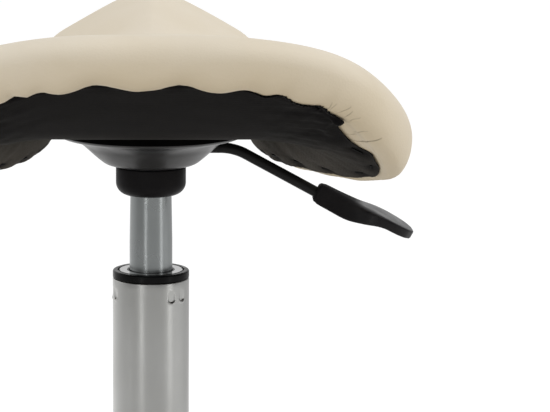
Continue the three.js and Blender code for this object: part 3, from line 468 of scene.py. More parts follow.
def weld(shape, tolerance=1e-7):
    """The shape with points at one place made one, and faces pointing out."""
    points, faces = shape
    keys = {}
    index = [keys.setdefault(tuple(np.round(p / tolerance).astype(np.int64)), len(keys)) for p in points]
    kept = np.zeros((len(keys), 3))
    kept[index] = points
    loops = []
    for face in faces:
        loop = [index[i] for i in face]
        loop = [v for i, v in enumerate(loop) if v != loop[i - 1]]
        if len(loop) > 2:
            loops.append(loop)
    volume = sum(
        float(np.dot(kept[f[0]], np.cross(kept[f[i]], kept[f[i + 1]])))
        for f in loops for i in range(1, len(f) - 1)
    )
    return kept, [f[::-1] for f in loops] if volume < 0 else loops


def inside_out(shape):
    points, faces = shape
    return points, [face[::-1] for face in faces]


def arc(centre, radius, start, end, steps):
    """Points of an arc as (x, y) pairs, its angles in degrees."""
    angles = np.radians(np.linspace(start, end, steps + 1))
    return [(centre[0] + radius * math.cos(a), centre[1] + radius * math.sin(a)) for a in angles]


def corner(radius, height, rounding, steps):
    """The rounded corner of a profile at its greatest radius and height."""
    return arc((radius - rounding, height - rounding), rounding, 0, 90, steps)


def peg(radius, low, high, sides):
    """A cylinder round the Z axis."""
    return turned([(0, low), (radius, low), (radius, high), (0, high)], sides)


def post(radius, low, high, rounding, steps, sides):
    """A cylinder round the Z axis, its top edge rounded."""
    return turned([(0, low), (radius, low), *corner(radius, high, rounding, steps), (0, high)], sides)


def cross_bore(radius, place, sides):
    """A cutter along Y."""
    bore = peg(radius, -CUTTER_REACH, CUTTER_REACH, sides)
    return moved(bore, Matrix.Translation(place) @ Matrix.Rotation(math.pi / 2, 4, "X"))


def prism(outline, half_width):
    """An outline of (x, z) pairs swept along Y, both ways from the XZ plane."""
    rings = [[(x, y, z) for x, z in outline] for y in (-half_width, half_width)]
    return weld(grid(rings, "flat"))


def moved(shape, matrix):
    points, faces = shape
    return [matrix @ Vector(p) for p in points], faces


def loose(shape):
    """A scratch object that only takes part in booleans."""
    return placed("scratch", mesh_of("scratch", shape))


def rounded(shape, width, steps=3, angle=35):
    """The shape with its sharp edges rounded."""
    body = loose(shape)
    bevel = body.modifiers.new("round", "BEVEL")
    bevel.width, bevel.segments, bevel.angle_limit = width, steps, math.radians(angle)
    return finished(body)


def finished(body):
    """The evaluated mesh of a scratch object, as points and faces. The object is removed."""
    graph = bpy.context.evaluated_depsgraph_get()
    mesh = bpy.data.meshes.new_from_object(body.evaluated_get(graph))
    points = np.array([v.co for v in mesh.vertices])
    faces = [tuple(p.vertices) for p in mesh.polygons]
    old = body.data
    bpy.data.objects.remove(body)
    bpy.data.meshes.remove(old)
    bpy.data.meshes.remove(mesh)
    return points, faces


def combined(shape, joined=(), removed=()):
    """The shape with others joined to it and others cut away."""
    body = loose(shape)
    tools = []
    for others, operation in ((joined, "UNION"), (removed, "DIFFERENCE")):
        for other in others:
            tool = loose(other)
            tools.append(tool)
            step = body.modifiers.new(operation.lower(), "BOOLEAN")
            step.operation, step.solver, step.object = operation, "EXACT", tool
    bpy.context.view_layer.update()
    made = finished(body)
    for tool in tools:
        mesh = tool.data
        bpy.data.objects.remove(tool)
        bpy.data.meshes.remove(mesh)
    return made


def smoothstep(x, low, high):
    t = np.clip((x - low) / (high - low), 0, 1)
    return t * t * (3 - 2 * t)


def lerp(pair, share):
    return pair[0] + (pair[1] - pair[0]) * share


def hermite(a, b, slope_a, slope_b, t):
    return (
        a * (2 * t**3 - 3 * t**2 + 1) + slope_a * (t**3 - 2 * t**2 + t)
        + b * (3 * t**2 - 2 * t**3) + slope_b * (t**3 - t**2)
    )


def bezier(corners, t):
    a, b, c, d = (np.asarray(corner, float) for corner in corners)
    return (1 - t) ** 3 * a + 3 * (1 - t) ** 2 * t * b + 3 * (1 - t) * t**2 * c + t**3 * d


# Column and lift

BUSH_ROUND = 0.0012
GROOVE_INSET = 0.0033
GROOVE_WIDTH = 0.001
GROOVE_DEPTH = 0.0011
NOTCH_RADIUS = 0.0011
NOTCH_COUNT = 6
NOTCH_TURN = 6  # degrees
BORE_CHAMFER = 0.0005
PLATE_INSET = 0.0009
PLATE_CHAMFER = 0.0002
TUBE_WALL = 0.0016
TUBE_FLOOR = 0.004
TUBE_LIP_ROUND = 0.0006
TAPER = math.radians(1.43)
PRESSURE_WALL = 0.0017
PRESSURE_GLAND = 0.018
PRESSURE_CHAMFER = 0.001
CONE_LENGTH = 0.060
CONE_CHAMFER = (0.0004, 0.0006)  # each way from the cone's edge, and down
VALVE_BLOCK = 0.070
ROD_HOLE = 0.0053
BUTTON_HOLE = 0.0043
BUTTON_PRESS = 0.0016
CRIMP_DROP = 0.0095  # below the tube's top
CRIMP_ROWS = (-0.006, 0.005)  # where the tube's rows are close, from the marks' middle
CRIMP_PAIR = (32.6, 53.5)  # degrees from -Y towards +X
CRIMP_REACH = (0.0024, 0.0033)
CRIMP_DEPTH = 0.0009
CRIMP_LIP = 0.0004


def column_radius_at(z):
    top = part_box("star_base")[1].z
    return COLUMN_RADIUS - max(0, top - z) * math.tan(TAPER)


def crimped(points):
    """Pairs of punched marks, three pairs round, that hold the guide bush in the tube."""
    angle = np.degrees(np.arctan2(points[:, 0], -points[:, 1]))
    radius = np.hypot(*points[:, :2].T)
    outside = radius > COLUMN_RADIUS - TUBE_WALL / 2
    depth = np.zeros(len(points))
    for turn in (0, 120, 240):
        for middle in CRIMP_PAIR:
            off = (angle - middle - turn + 180) % 360 - 180
            across = np.radians(off) * COLUMN_RADIUS / CRIMP_REACH[0]
            up = (points[:, 2] - (COLUMN_TOP - CRIMP_DROP)) / CRIMP_REACH[1]
            foot = -1 + 0.35 * across**2
            slope = np.clip((1.3 - up) / 2.2, 0, 1) * (1 - smoothstep(foot - up, -0.12, 0.12))
            pocket = slope * np.exp(-(across**6))
            lip = np.exp(-(across**6)) * np.exp(-(((up - foot + 0.28) / 0.16) ** 2))
            depth += CRIMP_DEPTH * pocket - CRIMP_LIP * lip
    points[:, :2] *= np.where(outside, 1 - depth / np.maximum(radius, 1e-6), 1)[:, None]
    return points


def outer_tube():
    floor_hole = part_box("piston_rod")[1].x
    taper_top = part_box("star_base")[1].z
    inner = COLUMN_RADIUS - TUBE_WALL
    low, high = (COLUMN_TOP - CRIMP_DROP + row for row in CRIMP_ROWS)
    floor_top = COLUMN_FOOT + TUBE_FLOOR
    profile = [
        (floor_hole, COLUMN_FOOT),
        (column_radius_at(COLUMN_FOOT), COLUMN_FOOT),
        (COLUMN_RADIUS, taper_top),
        *[(COLUMN_RADIUS, z) for z in np.linspace(low, high, 56)],
        *corner(COLUMN_RADIUS, COLUMN_TOP, TUBE_LIP_ROUND, 4),
        (inner, COLUMN_TOP),
        (inner, taper_top),
        (column_radius_at(floor_top) - TUBE_WALL, floor_top),
        (floor_hole, floor_top),
    ]
    points, faces = turned(profile, 432)
    piece("outer_tube", (crimped(points), faces), "base", "column_chrome", "column_tube", sharp=50)


def ring_bush():
    """The guide bush with a groove round its bore, and the glossy plate that lies in it."""
    bore = PRESSURE_RADIUS + SEAT_GAP
    sleeve = COLUMN_RADIUS - TUBE_WALL - SEAT_GAP
    flange = COLUMN_TOP + SEAT_GAP
    groove = COLUMN_RADIUS - GROOVE_INSET
    rim = bore + PLATE_INSET
    bed = BUSH_TOP - GROOVE_DEPTH
    profile = [
        (bore, BUSH_FOOT),
        (sleeve, BUSH_FOOT),
        (sleeve, flange),
        (COLUMN_RADIUS - BUSH_ROUND / 3, flange),
        (COLUMN_RADIUS, flange + BUSH_ROUND / 3),
        *corner(COLUMN_RADIUS, BUSH_TOP, BUSH_ROUND, 6),
        (groove, BUSH_TOP),
        (groove, bed),
        (rim, bed),
        (rim, BUSH_TOP),
        (bore + BORE_CHAMFER, BUSH_TOP),
        (bore, BUSH_TOP - BORE_CHAMFER),
    ]
    notch = peg(NOTCH_RADIUS, -GROOVE_DEPTH, OVERRUN, 20)
    step = Matrix.Translation((groove - GROOVE_WIDTH / 2, 0, BUSH_TOP))
    notches = []
    for i in range(NOTCH_COUNT):
        turn = math.radians(360 / NOTCH_COUNT * i + NOTCH_TURN)
        notches.append(moved(notch, Matrix.Rotation(turn, 4, "Z") @ step))
    bush = combined(turned(profile, 144), removed=notches)
    piece("ring_bush", bush, "base", "black_plastic", "guide_bush", look="gloss_plastic")
    inner, outer = rim + SEAT_GAP, groove - GROOVE_WIDTH
    profile = [
        (inner, bed),
        (outer, bed),
        (outer, BUSH_TOP - PLATE_CHAMFER),
        (outer - PLATE_CHAMFER, BUSH_TOP),
        (inner + PLATE_CHAMFER, BUSH_TOP),
        (inner, BUSH_TOP - PLATE_CHAMFER),
    ]
    plate = combined(turned(profile, 144), removed=notches)
    piece("bush_plate", plate, "base", "black_plastic", look="plate_gloss")


def inner_tube():
    low, high = (corner.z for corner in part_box("pressure_tube"))
    cone_top = PRESSURE_RADIUS - CONE_LENGTH * math.tan(TAPER)
    bore = PRESSURE_RADIUS - PRESSURE_WALL
    button_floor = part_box("release_button")[0].z - BUTTON_PRESS - SEAT_GAP
    profile = [
        (ROD_HOLE, low),
        (PRESSURE_RADIUS - PRESSURE_CHAMFER, low),
        (PRESSURE_RADIUS, low + PRESSURE_CHAMFER),
        (PRESSURE_RADIUS, high - CONE_LENGTH),
        (cone_top + CONE_CHAMFER[0], high - CONE_CHAMFER[1]),
        (cone_top - CONE_CHAMFER[0], high),
        (BUTTON_HOLE, high),
        (BUTTON_HOLE, button_floor),
        (0, button_floor),
        (0, high - VALVE_BLOCK),
        (bore, high - VALVE_BLOCK),
        (bore, low + PRESSURE_GLAND),
        (ROD_HOLE, low + PRESSURE_GLAND),
    ]
    piece("inner_tube", turned(profile, 144), "seat", "lift_steel", "pressure_tube")


# Mechanism under the seat

COLLAR_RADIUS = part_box("socket_collar")[1].x
COLLAR_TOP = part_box("socket_collar")[1].z + 0.001  # up to the bowl cover's foot
COLLAR_ROUND = 0.008
COLLAR_EDGE = 0.0008
COLLAR_FLOOR = 0.003
SOCKET_RADIUS = 0.018  # below its shoulder
COVER_SHEET = 0.0018
COVER_BRIM = 0.0052
COVER_EDGE = 0.0006
EDGING_PROUD = 0.0005
EDGING_ROUND = 0.0007
LEVER_HEIGHT = COLLAR_FOOT + 0.0305
SLOT_RADIUS = 0.0045
SLOT_RISE = 0.002
SLOT_REACH = (0.027, 0.056)
COVER_PROFILE = np.array([  # radius and height above the collar's foot
    [25, 19.4], [30, 21], [34.8, 24.6], [40, 29.2], [44.5, 33.3],
    [50, 36.6], [55, 37.9], [58.5, 38.7], [60.6, 39.8], [61.8, 41.2],
]) / 1000


def collar():
    well = SOCKET_RADIUS + SEAT_GAP
    centre = (COLLAR_RADIUS - COLLAR_ROUND, COLLAR_FOOT + COLLAR_ROUND)
    profile = [
        (PRESSURE_RADIUS, COLLAR_FOOT),
        *arc(centre, COLLAR_ROUND, -90, 0, 16),
        *corner(COLLAR_RADIUS, COLLAR_TOP, COLLAR_EDGE, 4),
        (well, COLLAR_TOP),
        (well, COLLAR_FOOT + COLLAR_FLOOR),
        (PRESSURE_RADIUS, COLLAR_FOOT + COLLAR_FLOOR),
    ]
    shape = turned(profile, 128)
    piece("collar_moulding", shape, "seat", "black_plastic", "socket_collar", look="collar_plastic")


def smooth_course(points, steps):
    """A uniform Catmull-Rom curve through the points, and its tangents."""
    padded = np.concatenate([points[:1], points, points[-1:]])
    places, along = [], []
    for s in np.linspace(0, len(points) - 1, steps + 1):
        i = min(int(s), len(points) - 2)
        t = s - i
        a, b, c, d = padded[i : i + 4]
        m0, m1 = (c - a) / 2, (d - b) / 2
        places.append(hermite(b, c, m0, m1, t))
        slope = (b - c) * (6 * t**2 - 6 * t) + m0 * (3 * t**2 - 4 * t + 1) + m1 * (3 * t**2 - 2 * t)
        along.append(slope / np.linalg.norm(slope))
    return np.array(places), np.array(along)


def bowl():
    """The bowl-shaped cover with the lever's slot, and the rubber channel pushed over its brim, coloured near
    black as painted shade.
    """
    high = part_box("mechanism_cover")[1]
    rim, lip_top = high.x, high.z
    course, along = smooth_course(COVER_PROFILE + [0, COLLAR_FOOT], 56)
    inner = course + np.stack([-along[:, 1], along[:, 0]], 1) * COVER_SHEET
    eye = SOCKET_RADIUS + 2 * SEAT_GAP
    profile = [
        (eye, course[0, 1]),
        *[tuple(p) for p in course],
        *corner(rim, lip_top, COVER_EDGE, 4),
        (rim - COVER_SHEET, lip_top),
        *[tuple(p) for p in inner[inner[:, 0] < rim - COVER_SHEET][::-1]],
        (eye, course[0, 1] + COVER_SHEET),
    ]
    slot = arc((0, LEVER_HEIGHT), SLOT_RADIUS, 180, 360, 16)
    slot += arc((0, LEVER_HEIGHT + SLOT_RISE), SLOT_RADIUS, 0, 180, 16)
    cutter = weld(grid([[(x, y, z) for y, z in slot] for x in SLOT_REACH], "flat"))
    shape = combined(turned(profile, 160), removed=[cutter])
    piece("bowl_cover", shape, "seat", "black_enamel", "mechanism_cover", sharp=40)
    inset = EDGING_ROUND - EDGING_PROUD
    outer, inner = rim - inset, rim - COVER_SHEET + inset
    foot, top = lip_top - COVER_BRIM + EDGING_ROUND, lip_top + SEAT_GAP / 2 - EDGING_ROUND
    ends = ((outer, foot, -90), (outer, top, 0), (inner, top, 90), (inner, foot, 180))
    profile = [point for x, z, turn in ends for point in arc((x, z), EDGING_ROUND, turn, turn + 90, 5)]
    # the channel's near black is painted shade from the seat's shadow
    piece("cover_edging", turned(profile, 160), "seat", "black_rubber", look="edging_painted_shade")


# Release lever

LEVER_RADIUS = 0.0035
LEVER_SIDES = 40
LEVER_PIVOT = Vector((0.027, 0, LEVER_HEIGHT))
LEVER_CRANK = 0.0084
LEVER_CRANK_ENDS = (0.010, 0.020)
LEVER_TIP_X = -0.003
LEVER_BEND_X = 0.054
LEVER_BEND_ROUND = 0.009
LEVER_BEND_STEPS = 14
LEVER_DROOP = math.radians(28.6)
LEVER_SLOPE = 0.076
PIN_RADIUS = 0.0016
PADDLE_START = 0.061
PADDLE_LENGTH = 0.0684
NECK_WIDTH = 0.0145
NECK_TOP = 0.0073  # above the rod's line, as the next three are
NECK_FOOT = -0.0064
BLADE_WIDTH = 0.040
BLADE_TOP = 0.0093
BLADE_FOOT = 0.0022
PADDLE_SHARES = np.array([  # length, the top's way from neck to blade, the foot's, full size
    [0, 0, 0, 0.72], [0.016, 0, 0, 0.9], [0.034, 0, 0, 0.97], [0.06, 0.01, 0, 1], [0.09, 0.02, 0, 1],
    [0.2, 0.1, 0, 1], [0.32, 0.27, 0, 1], [0.4, 0.38, 0.08, 1], [0.475, 0.58, 0.29, 1],
    [0.555, 0.83, 0.54, 1], [0.634, 0.95, 0.83, 1], [0.713, 1, 1, 1], [0.8, 1, 1, 0.97],
    [0.88, 1, 1, 0.88], [0.95, 1, 1, 0.7], [0.982, 1, 1, 0.5], [1, 1, 1, 0.27],
])


def on_slope(distance, lift=0.0):
    c, s = math.cos(LEVER_DROOP), math.sin(LEVER_DROOP)
    return Vector((LEVER_BEND_X + distance * c + lift * s, 0, LEVER_PIVOT.z - distance * s + lift * c))


def lever_rod():
    level, raised = LEVER_PIVOT.z, LEVER_PIVOT.z + LEVER_CRANK
    start, end = LEVER_CRANK_ENDS
    middle = (start + end) / 2
    steps = np.linspace(0, 1, LEVER_BEND_STEPS + 1)[:, None]
    crank = bezier([(start, 0, raised), (middle, 0, raised), (middle, 0, level), (end, 0, level)], steps)
    bend_start = Vector((LEVER_BEND_X - LEVER_BEND_ROUND, 0, level))
    corner, bend_end = on_slope(0), on_slope(LEVER_BEND_ROUND)
    bend = bezier([bend_start, bend_start.lerp(corner, 2 / 3), bend_end.lerp(corner, 2 / 3), bend_end], steps)
    course = [np.array((LEVER_TIP_X, 0, raised)), *crank, *bend, np.array(on_slope(LEVER_SLOPE))]
    rings = []
    angles = np.arange(LEVER_SIDES) * 2 * math.pi / LEVER_SIDES
    for i, point in enumerate(course):
        along = course[min(i + 1, len(course) - 1)] - course[max(i - 1, 0)]
        along = along / np.linalg.norm(along)
        up = (-along[2], 0, along[0])
        section = np.outer(np.sin(angles), up) + np.outer(np.cos(angles), (0, 1, 0))
        rings.append(point + LEVER_RADIUS * section)
    pin = cross_bore(PIN_RADIUS + SEAT_GAP, LEVER_PIVOT, 32)
    shape = combined(weld(grid(rings, "flat")), removed=[pin])
    piece("release_rod", shape, "lever", "black_enamel", "lever_rod", look="rod_enamel")


def paddle():
    stations = np.linspace(0, 1, 61)
    places, *columns = PADDLE_SHARES.T
    opened, thinned, size = (np.interp(stations, places, column) for column in columns)
    fifths = np.ones(5) / 5
    opened, thinned = (np.convolve(np.pad(row, 2, "edge"), fifths, "valid") for row in (opened, thinned))
    size[2:-2] = np.convolve(size, fifths, "valid")
    up = Vector((math.sin(LEVER_DROOP), 0, math.cos(LEVER_DROOP)))
    angles = (np.arange(72) + 0.5) * 2 * math.pi / 72
    cos, sin = np.cos(angles), np.sin(angles)
    rings = []
    for share, b, c, s in zip(stations, opened, thinned, size):
        half = lerp((NECK_WIDTH, BLADE_WIDTH), b) * s / 2
        top = lerp((NECK_TOP, BLADE_TOP), b)
        foot = lerp((NECK_FOOT, BLADE_FOOT), c)
        height = (top - foot) * (s + (s**0.3 - s) * c)
        middle = on_slope(PADDLE_START + PADDLE_LENGTH * share, (top + foot) / 2)
        wide = np.sign(cos) * np.abs(cos) ** (0.38 - 0.14 * c)
        tall = np.sign(sin) * np.abs(sin) ** (0.38 - 0.12 * c)
        rings.append(np.array(middle) + np.outer(tall * height / 2, up) + np.outer(half * wide, (0, 1, 0)))
    bore_start, bore_end = on_slope(PADDLE_START - OVERRUN), on_slope(LEVER_SLOPE + SEAT_GAP)
    axis = (bore_end - bore_start).normalized().to_track_quat("Z", "Y").to_matrix().to_4x4()
    bore = peg(LEVER_RADIUS + SEAT_GAP, 0, (bore_end - bore_start).length, 40)
    shape = weld(grid(rings, "flat"))
    shape = combined(shape, removed=[moved(bore, Matrix.Translation(bore_start) @ axis)])
    piece("release_paddle", shape, "lever", "black_plastic", "lever_paddle", look="paddle_plastic", sharp=40)


# Saddle seat

def along_seat(share):
    share = np.asarray(share, float)
    return np.where(share < 0, share * SEAT_REAR_REACH, share * SEAT_NOSE_REACH)


def station(y, column):
    """One column of the stations, read at the places y."""
    places, values = along_seat(SADDLE_SHARES[:, 0]), SADDLE_SHARES[:, column]
    last = len(places) - 1
    a = np.clip(np.searchsorted(places, y, side="left") - 1, 1, last - 1)
    b = a + 1
    after = np.minimum(a + 2, last)
    length = places[b] - places[a]
    t = np.clip((y - places[a]) / length, -1, 1)
    slope_a = (values[b] - values[a - 1]) / (places[b] - places[a - 1]) * length
    slope_b = (values[after] - values[a]) / (places[after] - places[a]) * length
    return hermite(values[a], values[b], slope_a, slope_b, t)


def saddle_top(x, y):
    rise = np.where(y < 0, CANTLE_RISE, POMMEL_RISE)
    ridge = RIDGE_HEIGHT + rise * station(y, 1)
    return ridge - SIDE_REACH * station(y, 2) * (np.abs(x) / SIDE_REACH) ** station(y, 3)


def outline_loop(column):
    z = SIDE_EDGE_HEIGHT + SEAT_EDGE_HEIGHT * OUTLINE_SHARES[:, column]
    right = np.stack([SEAT_HALF_WIDTH * OUTLINE_SHARES[:, 0], along_seat(OUTLINE_SHARES[:, 1]), z], 1)
    return np.concatenate([right, right[1:-1][::-1] * [-1, 1, 1]])


def centripetal(loop, steps=96):
    """A closed centripetal Catmull-Rom curve through the loop's points."""
    count = len(loop)
    t = (np.arange(steps) / steps)[:, None]
    pieces = []
    for i in range(count):
        p0, p1, p2, p3 = (loop[(i + k) % count] for k in (-1, 0, 1, 2))
        d0, d1, d2 = (np.sum((q - p) ** 2) ** 0.25 for p, q in ((p0, p1), (p1, p2), (p2, p3)))
        m1 = ((p1 - p0) / d0 - (p2 - p0) / (d0 + d1) + (p2 - p1) / d1) * d1
        m2 = ((p2 - p1) / d1 - (p3 - p1) / (d1 + d2) + (p3 - p2) / d2) * d1
        pieces.append(p1 + m1 * t + (3 * (p2 - p1) - 2 * m1 - m2) * t**2 + (2 * (p1 - p2) + m1 + m2) * t**3)
    return np.concatenate(pieces)


class Rays:
    """The seat's outline seen from the column's axis, at places given as shares of its length."""

    def __init__(self, shares):
        full, low = (centripetal(outline_loop(column)) for column in (2, 3))
        closed = np.concatenate([full, full[:1]])
        steps = np.linalg.norm(np.diff(closed, axis=0), axis=1)
        length = np.concatenate([[0], np.cumsum(steps)])
        self.girth = length[-1]
        self.run = shares * self.girth
        x, y, z = (np.interp(self.run, length, closed[:, k]) for k in range(3))
        self.low = np.interp(self.run, length, np.concatenate([low, low[:1]])[:, 2])
        self.reach = np.hypot(x, y)
        self.dx, self.dy, self.full = x / self.reach, y / self.reach, z
        bounds = [
            MOUNT_FLAT_REAR / np.maximum(-self.dy, 1e-6),
            MOUNT_FLAT_FRONT / np.maximum(self.dy, 1e-6),
            MOUNT_FLAT_SHARE * self.reach,
        ]
        self.flat = sum(bound**-8.0 for bound in bounds) ** (-1 / 8)

    def under(self, distance):
        share = np.maximum(0, (distance - self.flat) / (self.reach - DUST_INSET - self.flat))
        return SEAT_BASE + (self.low + DUST_DROP - SEAT_BASE) * share**UNDERSIDE_SWEEP

    def points(self, distance, z):
        return np.stack([self.dx * distance, self.dy * distance, z], -1)


# How far the staples draw the cover's lowest line up or let it hang, in millimetres, at places
# along the outline. The right rear is as the photo shows it
ROLL_RISES = (
    (-0.0095, -2.5), (-0.003, -2.1), (0.004, -1.3), (0.01, 0.25), (0.0158, 1.1), (0.022, 0.25), (0.028, -2),
    (0.034, -3.4), (0.04, -3.5), (0.046, -2.1), (0.052, -0.7), (0.058, -1), (0.0635, -2.1), (0.069, -0.5),
    (0.0745, 0.2), (0.08, -1.75), (0.0855, -1.8), (0.091, -0.55), (0.0965, 0.8), (0.102, -0.25),
    (0.108, -0.1), (0.114, 0), (0.12, 0), (0.135, 0), (0.1565, 0.35), (0.17, -0.12), (0.1835, 0.35),
    (0.197, -0.12), (0.2105, 0.4), (0.231, -0.15), (0.2505, 0.4), (0.267, -0.15), (0.284, 0.4), (0.3, -0.15),
)
ROLL_FIRST_LEFT = 0.014  # the first staple on the left lies this much further out
ROLL_STEP = 0.030
ROLL_SIDE = 0.35
ROLL_FRONT = 1.8
ROLL_TUCK = 0.4  # how far in a rise of 1 draws the line

# Creases in the cover at the rear right corner: half width and depth in millimetres, then their
# course as millimetres out from the lap inset and places along the outline
CREASES = (
    (0.5, 1, (-7, 0.1425), (-3, 0.1447), (2.5, 0.1447), (5.5, 0.142), (9, 0.1391), (11.8, 0.1387),
     (16.7, 0.1403), (20.5, 0.1416)),
    (0.42, 0.5, (-7, 0.135), (-3, 0.1362), (0, 0.136), (3, 0.1334), (6, 0.1307), (9, 0.1284), (13.5, 0.128),
     (17, 0.1298)),
    (0.34, 0.3, (11.5, 0.0998), (15, 0.0996), (20, 0.0988)),
    (0.34, 0.3, (12.5, 0.1012), (16, 0.1006), (21.5, 0.1011)),
    (0.36, 0.4, (13, 0.1055), (17, 0.1067), (24, 0.1098)),
    (0.36, 0.4, (13, 0.1113), (16, 0.1115), (21.5, 0.1122)),
    (0.36, 0.35, (12.5, 0.116), (16, 0.116), (21, 0.1192)),
)
COVER_SHARES = (0.0026, 0.00032, 0.097, 0.149)  # step along the outline, finer step and its ends
UNEVENNESS = 0.0004
UNEVEN_REACH = 0.09
GATHER_DEPTH = 0.00012
GATHER_STEP = 0.0052
GATHER_REACH = 0.009
FLANK_SHARE = 0.18  # where the stretched cover bulges a little
FLANK_SPREAD = 0.045
FLANK_BULGE = 0.0014
CREASE_FULL = 0.00075  # the depth that shows its full shade


def roll_rises():
    """Places all round the outline and the rises there, in metres."""
    right = list(ROLL_RISES)
    share = right[-1][0] + ROLL_STEP / 2
    while share < 0.5:
        size = ROLL_SIDE + (ROLL_FRONT - ROLL_SIDE) * smoothstep(share, 0.33, 0.42)
        right += [(share, size), (share + ROLL_STEP / 2, -size / 3)]
        share += ROLL_STEP + 0.003 * math.sin(5 * len(right))
    left = [
        (1 - share - ROLL_FIRST_LEFT * (1 - smoothstep(share, 0.02, 0.1)), rise)
        for share, rise in right if 0.0095 < share < 0.5
    ]
    return np.array(sorted((share % 1, rise / 1000) for share, rise in right + left))


ROLL = roll_rises()
STAPLES = [
    ROLL[i, 0] for i in range(len(ROLL))
    if ROLL[i, 1] > ROLL[i - 1, 1] and ROLL[i, 1] > ROLL[(i + 1) % len(ROLL), 1]
]


def through(knots, values, x):
    """A smooth curve through values at knots, read at x."""
    i = np.clip(np.searchsorted(knots, x, side="right") - 1, 0, len(knots) - 2)
    length = knots[i + 1] - knots[i]
    t = np.clip((x - knots[i]) / length, 0, 1)
    slope = np.zeros(len(knots))
    slope[1:-1] = (values[2:] - values[:-2]) / (knots[2:] - knots[:-2])
    return hermite(values[i], values[i + 1], slope[i] * length, slope[i + 1] * length, t)


def roll_rise(rays):
    """How far the cover's lowest line is drawn up on each ray."""
    places = np.concatenate([ROLL[-3:, 0] - 1, ROLL[:, 0], ROLL[:3, 0] + 1])
    rises = np.concatenate([ROLL[-3:, 1], ROLL[:, 1], ROLL[:3, 1]])
    return through(places, rises, rays.run / rays.girth)


def staple_pull(rays, reach):
    """1 at a staple, falling to 0 over a reach along the outline."""
    pull = np.zeros_like(rays.run)
    for share in STAPLES:
        away = (rays.run - share * rays.girth + rays.girth / 2) % rays.girth - rays.girth / 2
        pull = np.maximum(pull, np.exp(-((away / reach) ** 2)))
    return pull


def waves(x, y, reach, seed):
    """Soft unevenness from a few crossing waves, from -1 to 1."""
    total = np.zeros_like(x)
    for k in range(6):
        angle = 2.4 * k + seed
        step = reach * (0.6 + 0.13 * k)
        total += np.sin((x * math.cos(angle) + y * math.sin(angle)) / step * 2 * math.pi + 1.7 * k * seed)
    return total / 6


# The rings of the cover's turned-in margin, by how far in from the outline they lie
MARGIN_INSETS = (0.0215, LAP_INSET, 0.0255, 0.027, 0.0285, 0.030, 0.033, COVER_MARGIN)
LAP_RING = 1 - len(MARGIN_INSETS)
MARGIN_EASE = 0.006  # over which the pad's bed rises to let the margin in


def cover_course(rays, top_steps=40, upper_steps=20, lower_steps=66):
    """Distances and heights of the cover's outside, ring by ring, from the middle of the top to
    the turned-in margin."""
    def top(distance):
        return saddle_top(rays.dx * distance, rays.dy * distance)

    def lap(distance):
        return rays.under(distance) + DUST_SHEET + SEAT_GAP

    roll_start = rays.reach - EDGE_ROLL
    crest = top(roll_start)
    slope = (crest - top(roll_start - EDGE_ROLL / 8)) * 8
    rise = roll_rise(rays)
    low = rays.low + rise
    foot = rays.reach - EDGE_TUCK - ROLL_TUCK * rise
    upper = [
        (roll_start, crest),
        (roll_start + EDGE_ROLL * EDGE_PULL, crest + slope * EDGE_PULL),
        (rays.reach, rays.full + (crest - rays.full) * EDGE_PULL),
        (rays.reach, rays.full),
    ]
    lower = [
        (rays.reach, rays.full),
        (rays.reach, rays.full + (low - rays.full) * EDGE_PULL),
        (foot + EDGE_TUCK * EDGE_PULL, low),
        (foot, low),
    ]
    rings = [(roll_start * share, top(roll_start * share)) for share in np.linspace(0.03, 1, top_steps)[:-1]]
    for corners, steps in ((upper, upper_steps), (lower, lower_steps)):
        for t in np.linspace(0, 1, steps)[:-1]:
            rings.append([bezier(row, t) for row in zip(*corners)])
    turned_in = rays.reach - MARGIN_INSETS[0]
    for share in np.linspace(0, 1, 7)[:-1]:
        rings.append((lerp((foot, turned_in), share), lerp((low, lap(turned_in)), share)))
    for inset in MARGIN_INSETS:
        rings.append((rays.reach - inset, lap(rays.reach - inset)))
    distances, heights = zip(*rings)
    return np.array(distances), np.array(heights)


def lap_run(distances, heights):
    """Length along each ray's section, counted outwards from the ring at the lap inset."""
    steps = np.hypot(np.diff(distances, axis=0), np.diff(heights, axis=0))
    run = np.concatenate([np.zeros((1, distances.shape[1])), np.cumsum(steps, axis=0)])
    return run[LAP_RING] - run


def crease_depths(rays, run):
    depth = np.zeros_like(run)
    for width, deep, *course in CREASES:
        out, places = np.array(course).T
        out = out / 1000
        middle = through(out, places, run) * rays.girth
        t = np.clip((run - out[0]) / (out[-1] - out[0]), 0, 1)
        taper = np.where((run > out[0]) & (run < out[-1]), np.sin(math.pi * t) ** 0.5, 0)
        across = (rays.run - middle) / (width / 1000)
        depth = np.maximum(depth, deep / 1000 * taper * np.exp(-(across**2)))
    return depth


def normals(points):
    """Unit normals of a grid of points, rings by rays: up where the rings run outwards."""
    along = np.gradient(points, axis=0)
    around = np.roll(points, -1, axis=1) - np.roll(points, 1, axis=1)
    normal = np.cross(along, around)
    normal /= np.maximum(np.linalg.norm(normal, axis=2, keepdims=True), 1e-12)
    return normal


def finer_shares(step, fine_step, start, end):
    """Places along the outline: even, and closer together from start to end."""
    even = np.arange(0, 1, step)
    even = even[(even < start) | (even >= end)]
    return np.sort(np.concatenate([even, np.arange(start, end, fine_step)]))


